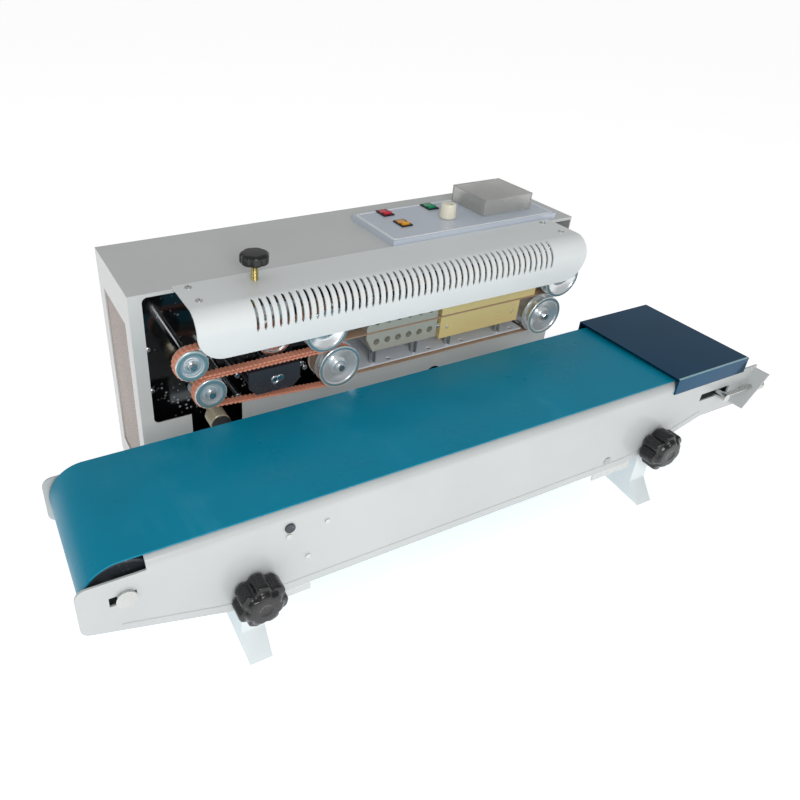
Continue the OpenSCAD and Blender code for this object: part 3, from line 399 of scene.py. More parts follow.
CREAM = Finish("cream knob",
               tone(232, 228, 208), roughness=0.28, coat=0.4, drift=0.06, fineness=1800,
               depth=0.00003, subsurface=0.1)
CLEAR = Finish("clear box",
               (0.9, 0.9, 0.88), roughness=0.18, clear=0.72, ior=1.49, drift=0.06, fineness=60,
               depth=0.00012)
TEAL = BeltCover("belt skin", tone(0, 132, 162), roughness=0.3, ior=1.28, fineness=2600, depth=0.00002)
MIRROR = Finish("mirror plate", tone(8, 74, 106), metallic=0.85, roughness=0.13, grain=Grain.ALONG_X,
                fineness=400, depth=0.000006, drift=0.12)
# The cover's bright front lip is a painted highlight on the fold of the polished sheet.
LIP_HIGHLIGHT = Finish("plate lip highlight", tone(168, 208, 216), metallic=0.6, roughness=0.22, drift=0.08)
ROLLER = Finish("roller skin", tone(58, 62, 68), roughness=0.42, grain=Grain.TURNED, fineness=1500,
                depth=0.00004, drift=0.3,
                specks=0.6, speck_colour=tone(150, 156, 162))
SILICONE = Finish("silicone rubber",
                  tone(70, 72, 76), roughness=0.6, grain=Grain.TURNED, fineness=1500, drift=0.2)
ROLLER_STEEL = Finish("roller steel",
                      tone(178, 182, 184), metallic=1.0, roughness=0.3, grain=Grain.TURNED,
                      fineness=1800, drift=0.12)
STUDIO_FLOOR = Finish("studio floor",
                      tone(250, 250, 250), roughness=0.8, drift=0.01, fineness=40, depth=0.0)

# ---------------------------------------------------------------- mesh tools


def grid_quads(rows: int, columns: int, wrap_rows: bool = False, wrap_columns: bool = False) -> np.ndarray:
    """Quads over a grid of points, row by row.

    Args:
        rows: Number of rows of points.
        columns: Number of points in a row.
        wrap_rows: Joins the last row to the first.
        wrap_columns: Joins each row's last point to its first.

    Returns:
        An array of four point numbers a quad.
    """
    i, j = np.meshgrid(np.arange(rows if wrap_rows else rows - 1),
                       np.arange(columns if wrap_columns else columns - 1), indexing="ij")
    i2, j2 = (i + 1) % rows, (j + 1) % columns
    corners = (i * columns + j, i * columns + j2, i2 * columns + j2, i2 * columns + j)
    return np.stack([c.ravel() for c in corners], axis=1)


def fillet(points: Sequence[Sequence[float]], radius: float, steps: int = 3,
           closed: bool = False) -> np.ndarray:
    """Rounds each corner of a line of points with a quadratic arc.

    Each arc runs from a point short of the corner to a point past it, by the radius or by half the
    shorter neighbour side where that is less.

    Args:
        points: The corners.
        radius: How far from its corner each arc starts.
        steps: Steps along an arc.
        closed: The line is a closed loop.

    Returns:
        The rounded line's points.
    """
    p = np.asarray(points, float)
    before, after = np.roll(p, 1, axis=0), np.roll(p, -1, axis=0)
    back, ahead = before - p, after - p
    back_len = np.maximum(np.linalg.norm(back, axis=1, keepdims=True), 1e-9)
    ahead_len = np.maximum(np.linalg.norm(ahead, axis=1, keepdims=True), 1e-9)
    cut = np.minimum(radius, 0.49 * np.minimum(back_len, ahead_len))
    if not closed:
        cut[0] = cut[-1] = 0
    start, end = p + back / back_len * cut, p + ahead / ahead_len * cut
    t = np.linspace(0, 1, steps + 1)[None, :, None]
    arcs = start[:, None] * (1 - t) ** 2 + 2 * p[:, None] * t * (1 - t) + end[:, None] * t ** 2
    if closed:
        return arcs.reshape(-1, p.shape[1])
    return np.concatenate([p[:1], arcs[1:-1].reshape(-1, p.shape[1]), p[-1:]])


@dataclass
class Build:
    """What every piece needs: the frame's nodes and which body each rides on. It also reads each node's
    material slot.
    """

    frame: dict
    body_of: dict[str, str] = field(default_factory=dict)
    slot_of: dict[str, str] = field(default_factory=dict)

    def __post_init__(self) -> None:
        """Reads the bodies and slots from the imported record."""
        record = self.frame["record"]
        for body, nodes in record["behaviour"]["bodies"].items():
            self.body_of.update({node: body for node in nodes})
        for part in record["subparts"]:
            self.slot_of[part["node"]] = part["material_slot"]

    def box(self, node: str) -> tuple[np.ndarray, np.ndarray]:
        """A node's lowest and highest corner as arrays, in metres."""
        low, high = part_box(node)
        return np.array(low), np.array(high)

    def islands(self, node: str) -> list[tuple[np.ndarray, np.ndarray]]:
        """Boxes of a node's separate solids.

        Args:
            node: The CAD node.

        Returns:
            A lowest and a highest corner for each solid, sorted by X.
        """
        mesh = self.frame["nodes"][node].data
        co = np.zeros(len(mesh.vertices) * 3)
        mesh.vertices.foreach_get("co", co)
        keys, inverse = np.unique(np.round(co.reshape(-1, 3), 6), axis=0, return_inverse=True)
        inverse = inverse.ravel()
        edges = np.zeros(len(mesh.edges) * 2, int)
        mesh.edges.foreach_get("vertices", edges)
        ends = inverse[edges.reshape(-1, 2)]
        group = np.arange(len(keys))
        while True:
            low = np.minimum(group[ends[:, 0]], group[ends[:, 1]])
            before = group.copy()
            np.minimum.at(group, ends[:, 0], low)
            np.minimum.at(group, ends[:, 1], low)
            group = group[group]
            if np.array_equal(before, group):
                break
        found = [(keys[group == g].min(axis=0), keys[group == g].max(axis=0)) for g in np.unique(group)]
        return sorted(found, key=lambda pair: pair[0][0])

    def piece(self, name: str, points: np.ndarray, faces: Iterable, finish: Finish, node: str,
              stands_for: bool = False, sharp: float = 35.0,
              uv: np.ndarray | None = None) -> bpy.types.Object:
        """Makes a finished piece from points and faces.

        Args:
            name: The piece's name.
            points: Its points in metres, in the frame.
            faces: Point numbers of each face.
            finish: Its finish.
            node: The CAD node whose body it rides on.
            stands_for: The piece replaces the node.
            sharp: Edges that turn more than this, in degrees, stay sharp.
            uv: A coordinate pair a point, in metres.

        Returns:
            The new object.
        """
        mesh = bpy.data.meshes.new(name)
        mesh.from_pydata(np.asarray(points, float).reshape(-1, 3).tolist(), [], [list(f) for f in faces])
        if uv is not None:
            ends = np.zeros(len(mesh.loops), int)
            mesh.loops.foreach_get("vertex_index", ends)
            mesh.uv_layers.new(name="UVMap").data.foreach_set("uv", np.asarray(uv, float)[ends].ravel())
        close_up(mesh)
        return self.dress(bpy.data.objects.new(name, mesh), finish, node, stands_for, sharp)

    def lathe(self, name: str, node: str, finish: Finish, shape: tuple, stands_for: bool = False,
              sharp: float = 35.0) -> bpy.types.Object:
        """Makes a finished piece from what turned or threaded gives.

        Args:
            name: The piece's name.
            node: The CAD node whose body it rides on.
            finish: Its finish.
            shape: Points, quads and a UV pair a point.
            stands_for: The piece replaces the node.
            sharp: Edges that turn more than this, in degrees, stay sharp.

        Returns:
            The new object.
        """
        points, quads, uv = shape
        return self.piece(name, points, quads, finish, node, stands_for, sharp, uv)

    def round_size(self, node: str) -> tuple[np.ndarray, np.ndarray, np.ndarray, float]:
        """A round node's lowest corner, highest corner, middle, and its radius seen along Y or Z."""
        low, high = self.box(node)
        return low, high, (low + high) / 2, (high[0] - low[0]) / 2

    def copies(self, table: Iterable[tuple]) -> None:
        """Copies each node of a table of (node, finish, width of its eased edges)."""
        for node, finish, ease in table:
            self.copy(node, finish, ease)

    def dress(self, piece: bpy.types.Object, finish: Finish, node: str, stands_for: bool,
              sharp: float) -> bpy.types.Object:
        """Shades a piece, gives it its finish and puts it on its body.

        Args:
            piece: The object, its place in its mesh.
            finish: Its finish.
            node: The CAD node whose body it takes.
            stands_for: The piece replaces the node.
            sharp: Edges that turn more than this, in degrees, stay sharp.

        Returns:
            The same object.
        """
        bpy.context.scene.collection.objects.link(piece)
        piece.data.materials.clear()
        piece.data.materials.append(finish.material())
        piece.data.shade_smooth()
        piece.data.set_sharp_from_angle(angle=math.radians(sharp))
        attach(piece, self.body_of[node])
        if stands_for:
            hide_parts(node)
        log.info("%s: %d faces on %s", piece.name, len(piece.data.polygons), self.body_of[node])
        return piece

    def copy(self, node: str, finish: Finish, ease: float, sharp: float = 32.0) -> bpy.types.Object:
        """A merged copy of a CAD node with eased edges, which stands for it.

        Args:
            node: The CAD node.
            finish: Its finish.
            ease: Width of the eased edges in millimetres.
            sharp: Edges that turn more than this, in degrees, are eased.

        Returns:
            The new piece.
        """
        mesh = self.frame["nodes"][node].data.copy()
        mesh.name = node
        shape = bmesh.new()
        shape.from_mesh(mesh)
        bmesh.ops.remove_doubles(shape, verts=shape.verts, dist=2e-6)
        bmesh.ops.dissolve_limit(shape, angle_limit=math.radians(0.6), verts=shape.verts, edges=shape.edges)
        shape.to_mesh(mesh)
        shape.free()
        piece = self.dress(bpy.data.objects.new(node + "_finished", mesh), finish, node, True, sharp)
        if ease > 0:
            eased = piece.modifiers.new("eased edges", "BEVEL")
            eased.width, eased.segments = ease * MM, 2
            eased.limit_method, eased.angle_limit = "ANGLE", math.radians(sharp)
            eased.harden_normals = True
        return piece


def close_up(mesh: bpy.types.Mesh) -> None:
    """Merges a mesh's doubled points at seams and poles and turns its faces outwards."""
    shape = bmesh.new()
    shape.from_mesh(mesh)
    bmesh.ops.remove_doubles(shape, verts=shape.verts, dist=1e-7)
    bmesh.ops.dissolve_degenerate(shape, edges=shape.edges, dist=1e-8)
    bmesh.ops.recalc_face_normals(shape, faces=shape.faces)
    shape.to_mesh(mesh)
    shape.free()


def join_parts(parts: Sequence[tuple[np.ndarray, Sequence]]) -> tuple[np.ndarray, list]:
    """Puts several point and face lists into one.

    Args:
        parts: Points and faces of each part.

    Returns:
        All points and all faces, renumbered.
    """
    points, faces, start = [], [], 0
    for part_points, part_faces in parts:
        flat = np.asarray(part_points, float).reshape(-1, 3)
        faces += [[int(k) + start for k in f] for f in part_faces]
        points.append(flat)
        start += len(flat)
    return np.concatenate(points), faces


@dataclass(frozen=True)
class Axis:
    """A line in space with two directions square to it, which turned and extruded shapes use."""

    origin: np.ndarray
    along: np.ndarray
    first: np.ndarray
    second: np.ndarray

    @staticmethod
    def make(origin: Sequence[float], letter: str) -> "Axis":
        """An axis through a point along X, Y or Z, or against one of them with a minus sign."""
        sign = -1.0 if letter.startswith("-") else 1.0
        index = "xyz".index(letter[-1])
        unit = np.eye(3)
        return Axis(np.asarray(origin, float), sign * unit[index], unit[(index + 1) % 3],
                    sign * unit[(index + 2) % 3])

    def place(self, along: np.ndarray, first: np.ndarray, second: np.ndarray) -> np.ndarray:
        """Points from their distances along the axis and along its two square directions."""
        return (self.origin + np.asarray(along)[..., None] * self.along
                + np.asarray(first)[..., None] * self.first + np.asarray(second)[..., None] * self.second)


def turned(axis: Axis, profile: np.ndarray, closed: bool = False, lobes: int = 0, wave: float = 0.0,
           reach: tuple[float, float] = (0.0, 1.0), segments: int = 96) -> tuple:
    """Carries a profile of (distance along, radius) round an axis.

    A point is at the axis point plus radius times (cos, sin) of its angle. With lobes, the radius is
    multiplied by 1 + wave * |sin(lobes * angle / 2)|^5, which leaves wide lobes between narrow grooves.
    The wave grows from nothing at the first radius in reach to full depth at the second.

    Args:
        axis: The axis.
        profile: Pairs of distance and radius in metres.
        closed: The profile is a ring that doesn't meet the axis.
        lobes: Number of lobes round the axis, or 0.
        wave: Depth of the lobes as a share of the radius.
        reach: Radii between which the lobes grow, in metres.
        segments: Points round the axis.

    Returns:
        Points, quads and a UV pair a point: the distance round at the outer radius, and along.
    """
    profile = np.asarray(profile, float)
    angle = np.linspace(0, 2 * np.pi, segments, endpoint=False)
    along, radius = np.broadcast_arrays(profile[:, :1], profile[:, 1:2] * np.ones((1, segments)))
    if lobes:
        grown = np.clip((radius - reach[0]) / max(reach[1] - reach[0], 1e-9), 0, 1)
        radius = radius * (1 + wave * grown * np.abs(np.sin(lobes * angle / 2))[None, :] ** 5)
    points = axis.place(along * np.ones((1, segments)), radius * np.cos(angle), radius * np.sin(angle))
    quads = grid_quads(len(profile), segments, wrap_rows=closed, wrap_columns=True)
    step = np.concatenate([[0], np.cumsum(np.linalg.norm(np.diff(profile, axis=0), axis=1))])
    uv = np.stack(np.broadcast_arrays(angle[None, :] * profile[:, 1].max(), step[:, None]), axis=-1)
    return points.reshape(-1, 3), quads, uv.reshape(-1, 2)


def extruded(axis: Axis, outline: np.ndarray, low: float, high: float,
             chamfer: float = 0.0) -> tuple[np.ndarray, list]:
    """Carries a flat outline along an axis, with its rims drawn in by a chamfer.

    Args:
        axis: The axis. The outline's pairs are distances along its two square directions.
        outline: The outline's points.
        low: Start along the axis.
        high: End along the axis.
        chamfer: Width of the chamfer at both rims.

    Returns:
        Points and faces.
    """
    outline = np.asarray(outline, float)
    middle = (outline.min(axis=0) + outline.max(axis=0)) / 2
    size = np.maximum(np.abs(outline - middle).max(), 1e-9)
    drawn = middle + (outline - middle) * (1 - chamfer / size)
    rows = [(low, drawn), (low + chamfer, outline), (high - chamfer, outline), (high, drawn)]
    if chamfer <= 0:
        rows = [(low, outline), (high, outline)]
    points = np.stack([axis.place(np.full(len(o), a), o[:, 0], o[:, 1]) for a, o in rows])
    n = len(outline)
    quads = grid_quads(len(rows), n, wrap_columns=True).tolist()
    caps = [list(range(n))[::-1], [(len(rows) - 1) * n + k for k in range(n)]]
    return points.reshape(-1, 3), quads + caps


def sheet(points: np.ndarray, keep: np.ndarray, thickness: float) -> tuple[np.ndarray, list]:
    """Gives a grid of points a thickness, with rims round its edge and its openings.

    The back points lie behind the front ones by the thickness along the grid's own normal, which is
    the cross product of its two directions.

    Args:
        points: A grid of points, rows by columns by 3.
        keep: Which quads of the grid there are, rows - 1 by columns - 1.
        thickness: The sheet's thickness in metres.

    Returns:
        Points and faces.
    """
    rows, columns = points.shape[:2]
    normal = np.cross(np.gradient(points, axis=0), np.gradient(points, axis=1))
    normal /= np.maximum(np.linalg.norm(normal, axis=2, keepdims=True), 1e-12)
    back = points - normal * thickness
    quads = grid_quads(rows, columns)[keep.ravel()]
    count = rows * columns
    pairs = np.concatenate([quads[:, [k, (k + 1) % 4]] for k in range(4)])
    code = np.minimum(pairs[:, 0], pairs[:, 1]) * count + np.maximum(pairs[:, 0], pairs[:, 1])
    _, first, times = np.unique(code, return_index=True, return_counts=True)
    rim = pairs[first[times == 1]]
    sides = np.stack([rim[:, 1], rim[:, 0], rim[:, 0] + count, rim[:, 1] + count], axis=1)
    faces = np.concatenate([quads, quads[:, ::-1] + count, sides])
    used, renumbered = np.unique(faces, return_inverse=True)
    both = np.concatenate([points.reshape(-1, 3), back.reshape(-1, 3)])
    return both[used], renumbered.reshape(faces.shape).tolist()


@dataclass(frozen=True)
class Loop:
    """The line of a belt round two circles in the XZ plane, with its outward normals."""

    first: tuple[float, float]
    first_r: float
    second: tuple[float, float]
    second_r: float

    def sample(self, step: float) -> tuple[np.ndarray, np.ndarray, np.ndarray]:
        """Points along the loop at an even step.

        The loop is an arc round the first circle, a straight run, an arc round the second and a run
        back. The runs leave each circle where its normal is square to them.

        Args:
            step: The wanted distance between points in metres.

        Returns:
            Points, their outward normals and their distance along the loop.
        """
        p, q = np.array(self.first), np.array(self.second)
        span = q - p
        turn = math.atan2(span[1], span[0])
        opening = math.acos((self.first_r - self.second_r) / np.linalg.norm(span))
        angles = [np.linspace(turn + opening, turn + 2 * math.pi - opening, 200),
                  np.linspace(turn - opening, turn + opening, 200)]
        line, normals = [], []
        for centre, radius, arc in ((p, self.first_r, angles[0]), (q, self.second_r, angles[1])):
            unit = np.stack([np.cos(arc), np.sin(arc)], axis=1)
            line.append(centre + radius * unit)
            normals.append(unit)
        line = np.concatenate([*line, line[0][:1]])
        normals = np.concatenate([*normals, normals[0][:1]])
        run = np.concatenate([[0], np.cumsum(np.linalg.norm(np.diff(line, axis=0), axis=1))])
        count = max(16, round(run[-1] / step))
        at = np.linspace(0, run[-1], count, endpoint=False)
        points = np.stack([np.interp(at, run, line[:, k]) for k in (0, 1)], axis=1)
        out = np.stack([np.interp(at, run, normals[:, k]) for k in (0, 1)], axis=1)
        return points, out / np.linalg.norm(out, axis=1, keepdims=True), at


def belt(loop: Loop, section: np.ndarray, step: float, teeth: float = 0.0, pitch: float = 0.0) -> tuple:
    """Carries a closed section of (y, height over the line) round a loop.

    With teeth, each section point's height is moved away from the belt's middle by the tooth height
    times a wave with steep flanks along the loop.

    Args:
        loop: The loop.
        section: The section's points in metres.
        step: Distance between sections.
        teeth: Height of the teeth.
        pitch: Distance between teeth.

    Returns:
        Points, quads and a UV pair a point.
    """
    line, normal, at = loop.sample(step)
    section = np.asarray(section, float)
    height = np.broadcast_to(section[:, 1], (len(at), len(section))).copy()
    if teeth > 0:
        total = at[-1] + at[1]
        turns = round(total / pitch)
        wave = np.clip(2.2 * np.sin(2 * np.pi * turns * at / total), -1, 1) * 0.5 - 0.5
        middle = section[:, 1].mean()
        height += np.sign(section[:, 1] - middle)[None, :] * teeth * wave[:, None]
    x = line[:, :1] + normal[:, :1] * height
    z = line[:, 1:] + normal[:, 1:] * height
    y = np.broadcast_to(section[:, 0], x.shape)
    points = np.stack([x, y, z], axis=-1)
    quads = grid_quads(len(at), len(section), wrap_rows=True, wrap_columns=True)
    uv = np.stack(np.broadcast_arrays(at[:, None], section[:, 0][None, :]), axis=-1)
    return points.reshape(-1, 3), quads, uv.reshape(-1, 2)


def helix(axis: Axis, radius: float, wire: float, low: float, high: float, turns: float) -> tuple:
    """A round wire wound round an axis: its line turns evenly while it rises, and its section is a circle.

    Args:
        axis: The axis.
        radius: Radius of the wire's line.
        wire: Radius of the wire.
        low: Start along the axis.
        high: End along the axis.
        turns: Number of turns.

    Returns:
        Points and quads, with both ends closed by a small ring.
    """
    t = np.linspace(0, 1, int(turns * 20))
    angle = 2 * np.pi * turns * t
    ring = np.linspace(0, 2 * np.pi, 8, endpoint=False)
    taper = np.where((t == 0) | (t == 1), 0.0, 1.0)[:, None]
    out = radius + wire * np.cos(ring)[None, :] * taper
    rise = low + (high - low) * t[:, None] + wire * np.sin(ring)[None, :] * taper
    points = axis.place(rise, out * np.cos(angle)[:, None], out * np.sin(angle)[:, None])
    return points.reshape(-1, 3), grid_quads(len(t), 8, wrap_columns=True)


def hexagon(across: float, turn: float = 0.0, steps: int = 6) -> np.ndarray:
    """A regular hexagon's corners from its width across flats and its turn in radians."""
    angle = np.linspace(0, 2 * np.pi, steps, endpoint=False) + turn
    return np.stack([np.cos(angle), np.sin(angle)], axis=1) * across / math.sqrt(3)


def screw_head(axis: Axis, radius: float, rise: float) -> tuple[np.ndarray, np.ndarray]:
    """A pan head with a cross recess.

    The height is a low dome, less the recess depth where the point lies within the cross's arms.

    Args:
        axis: The screw's axis, pointing out of the surface.
        radius: The head's radius.
        rise: The head's height.

    Returns:
        Points and quads.
    """
    share = np.array([0.0, 0.14, 0.22, 0.3, 0.42, 0.52, 0.58, 0.75, 0.9, 1.0, 1.0])[:, None]
    angle = np.linspace(0, 2 * np.pi, 32, endpoint=False)[None, :] + np.pi / 32
    u, v = share * np.cos(angle), share * np.sin(angle)
    height = rise * np.sqrt(np.clip(1.15 - share ** 2 * 0.9, 0, 1)) * np.ones_like(u)
    arms = (np.minimum(np.abs(u), np.abs(v)) < 0.13) & (np.maximum(np.abs(u), np.abs(v)) < 0.56)
    height = np.where(arms, height - rise * 0.6, height)
    height[-1] = 0
    return axis.place(height, u * radius, v * radius).reshape(-1, 3), grid_quads(11, 32, wrap_columns=True)


def raised_line(path: np.ndarray, up: Sequence[float], width: float, height: float, closed: bool) -> tuple:
    """A half round bead along a line on a flat face.

    The section is half an ellipse: its width lies square to the line in the face, its height along up.

    Args:
        path: The line's points in metres.
        up: The face's outward direction.
        width: The bead's width.
        height: The bead's height.
        closed: The line is a loop.

    Returns:
        Points and faces.
    """
    up = np.asarray(up, float)
    ahead = np.roll(path, -1, axis=0) - np.roll(path, 1, axis=0) if closed else np.gradient(path, axis=0)
    side = np.cross(up, ahead / np.linalg.norm(ahead, axis=1, keepdims=True))
    turn = np.linspace(0, np.pi, 7)[None, :, None]
    points = path[:, None] + side[:, None] * np.cos(turn) * width / 2 + up * np.sin(turn) * height
    faces = grid_quads(len(path), 7, wrap_rows=closed, wrap_columns=True).tolist()
    if not closed:
        faces += [list(range(7)), [(len(path) - 1) * 7 + k for k in range(7)][::-1]]
    return points.reshape(-1, 3), faces


def rounded_box(low: Sequence[float], high: Sequence[float], radius: float) -> np.ndarray:
    """A closed rectangle with rounded corners, as pairs."""
    (a, b), (c, d) = low, high
    return fillet([(a, b), (c, b), (c, d), (a, d)], radius, 4, closed=True)


# ---------------------------------------------------------------- case and hood


@dataclass
class Case:
    """The sheet case: shell, rear cover, perforated sides, black mounting plate, feet and screws."""

    build: Build
    cell: float = 1.7 * MM
    border: float = 7 * MM
    screw_r: float = 3.6 * MM
    plate_screw_r: float = 3.2 * MM
    punched_t: float = 0.8 * MM
    from_left: tuple[float, float] = (22 * MM, 120 * MM)
    from_right: float = 50 * MM
    from_low: tuple[float, float] = (136 * MM, 190 * MM)
    from_top: float = 18 * MM

    def make(self) -> None:
        """Builds and dresses every part of the case."""
        self.build.copies((
            ("case_shell", CASE, 0.9),
            ("rear_cover", CASE, 0.5),
            ("base_plate", ZINC_SHEET, 0.3),
            ("rubber_feet", RUBBER, 1.2),
            ("mounting_plate", BLACK, 0.4),
        ))
        self.perforated_sides()
        self.screws()
        self.plate_screws()

    def perforated_sides(self) -> None:
        """Two punched sheets.

        The sheet is an even grid of small cells. A cell is a hole where its row number is odd and its
        column number plus half its row number is odd too, which staggers the holes, inside a plain border.
        """
        parts = []
        for low, high in self.build.islands("vent_panels"):
            left = low[0] < 0
            y = np.arange(low[1], high[1] + 1e-9, self.cell)
            z = np.arange(low[2], high[2] + 1e-9, self.cell)
            zz, yy = np.meshgrid(z, y[::-1] if left else y, indexing="ij")
            x = np.full_like(yy, low[0] if left else high[0])
            i, j = np.meshgrid(np.arange(len(z) - 1), np.arange(len(y) - 1), indexing="ij")
            edge = round(self.border / self.cell)
            inside = (i >= edge) & (i < len(z) - 1 - edge) & (j >= edge) & (j < len(y) - 1 - edge)
            hole = inside & (i % 2 == 1) & ((j + i // 2) % 2 == 1)
            points, faces = sheet(np.stack([x, yy, zz], axis=-1), ~hole, -self.punched_t)
            parts.append((points, faces))
        self.build.piece("perforated_sides", *join_parts(parts), VENT, "vent_panels", stands_for=True)

    def screws(self) -> None:
        """Pan heads with cross recesses, one on each of the case's and the hood's screws."""
        parts = []
        for low, high in self.build.islands("case_screws"):
            size, middle = high - low, (low + high) / 2
            if size[1] < size[2]:
                axis = Axis.make((middle[0], low[1], middle[2]), "y")
            else:
                axis = Axis.make((middle[0], middle[1], low[2]), "z")
            parts.append(screw_head(axis, self.screw_r, min(size) * 0.93))
        self.build.piece("pan_screws", *join_parts(parts), ZINC, "case_screws", stands_for=True)

    def plate_screws(self) -> None:
        """Pan heads that hold the black plate, down its left end and along its top."""
        low, high = self.build.box("mounting_plate")
        parts = []
        for x in (*(low[0] + step for step in self.from_left), high[0] - self.from_right):
            for z in (*(low[2] + step for step in self.from_low), high[2] - self.from_top):
                parts.append(screw_head(Axis.make((x, low[1], z), "-y"), self.plate_screw_r, 2 * MM))
        self.build.piece("plate_screws", *join_parts(parts), ZINC, "mounting_plate")


@dataclass
class Hood:
    """The bent sheet over the sealing head, with its row of cooling slots through the bend."""

    build: Build
    bend_r: float = 22 * MM
    corner_r: float = 28 * MM
    thickness: float = 1.5 * MM
    first_slot: float = 60 * MM
    pitch: float = 8.1 * MM
    slot_w: float = 3 * MM
    slots: int = 47
    slot_top: float = 4 * MM
    slot_low: float = 6 * MM
    slot_side: float = 0.7 * MM

    def profile_rows(self, low: np.ndarray, high: np.ndarray) -> tuple[np.ndarray, np.ndarray, int, int]:
        """Heights and depths down the profile, from the rear of the flat top to the end of the bend.

        Returns:
            Rows of (y, z), shares of the drop below the bend, and the rows where a slot starts and ends.
        """
        bend = np.array([low[1] + self.bend_r, high[2] - self.bend_r])
        flat_y = np.linspace(high[1], bend[0], 10)[:-1]
        start = math.pi / 2 + math.asin(self.slot_top / self.bend_r)
        angle = np.concatenate([np.linspace(math.pi / 2, start, 4), np.linspace(start, math.pi, 20)[1:]])
        arc = bend + self.bend_r * np.stack([np.cos(angle), np.sin(angle)], axis=1)
        rows = np.concatenate([np.stack([flat_y, np.full(9, high[2])], axis=1), arc])
        full = bend[1] - low[2]
        drop = np.concatenate([np.linspace(0, self.slot_low / full, 4)[1:],
                               np.linspace(self.slot_low / full, 1, 8)[1:]])
        return rows, drop, len(flat_y) + 3, len(rows) - 1 + 3

    def columns(self, low: np.ndarray, high: np.ndarray) -> tuple[np.ndarray, np.ndarray]:
        """Places along the hood, and for each strip between them how far into a slot's round end it is.

        Returns:
            The places, and 0 for a strip outside any slot, 1 at a slot's side or 2 in its middle.
        """
        corner = self.corner_r * (1 - np.cos(np.linspace(0, np.pi / 2, 14)))
        ends = np.concatenate([low[0] + corner, high[0] - corner])
        x0 = low[0] + self.first_slot + self.pitch * np.arange(self.slots)[:, None]
        side = self.slot_side
        cuts = x0 + np.array([0, side, self.slot_w - side, self.slot_w, (self.slot_w + self.pitch) / 2])
        kept = (cuts < high[0] - self.corner_r - 1 * MM) | (cuts < low[0])
        x = np.unique(np.round(np.concatenate([ends, cuts[kept]]), 7))
        middle = (x[:-1] + x[1:]) / 2
        within = middle - (low[0] + self.first_slot)
        at, number = within % self.pitch, within // self.pitch
        in_slot = (number >= 0) & (number < self.slots) & (at < self.slot_w)
        deep = in_slot & (at > side) & (at < self.slot_w - side)
        return x, in_slot.astype(int) + deep.astype(int)

    def make(self) -> None:
        """Builds the hood.

        The profile is carried along X. Below the bend a point's height is the bend's end plus a share
        of the way to the lower edge, and that edge rises at both ends along a quarter circle.
        """
        low, high = self.build.box("hood")
        rows, drop, start, end = self.profile_rows(low, high)
        x, strip = self.columns(low, high)
        near = np.clip(self.corner_r - np.minimum(x - low[0], high[0] - x), 0, self.corner_r)
        edge = low[2] + self.corner_r - np.sqrt(self.corner_r ** 2 - near ** 2)
        bend_z = high[2] - self.bend_r
        edge = np.minimum(edge, bend_z - 0.4 * MM)
        y = np.concatenate([np.repeat(rows[:, :1], len(x), 1), np.full((len(drop), len(x)), low[1])])
        z = np.concatenate([np.repeat(rows[:, 1:], len(x), 1), bend_z + drop[:, None] * (edge - bend_z)])
        grid = np.stack([np.broadcast_to(x, y.shape), y, z], axis=-1)
        row = np.arange(len(y) - 1)[:, None]
        inset = 2 - strip[None, :]
        hole = (strip[None, :] > 0) & (row >= start + inset) & (row < end - inset)
        points, faces = sheet(grid, ~hole, self.thickness)
        self.build.piece("slotted_hood", points, faces, HOOD, "hood", stands_for=True, sharp=40)


# ---------------------------------------------------------------- controls


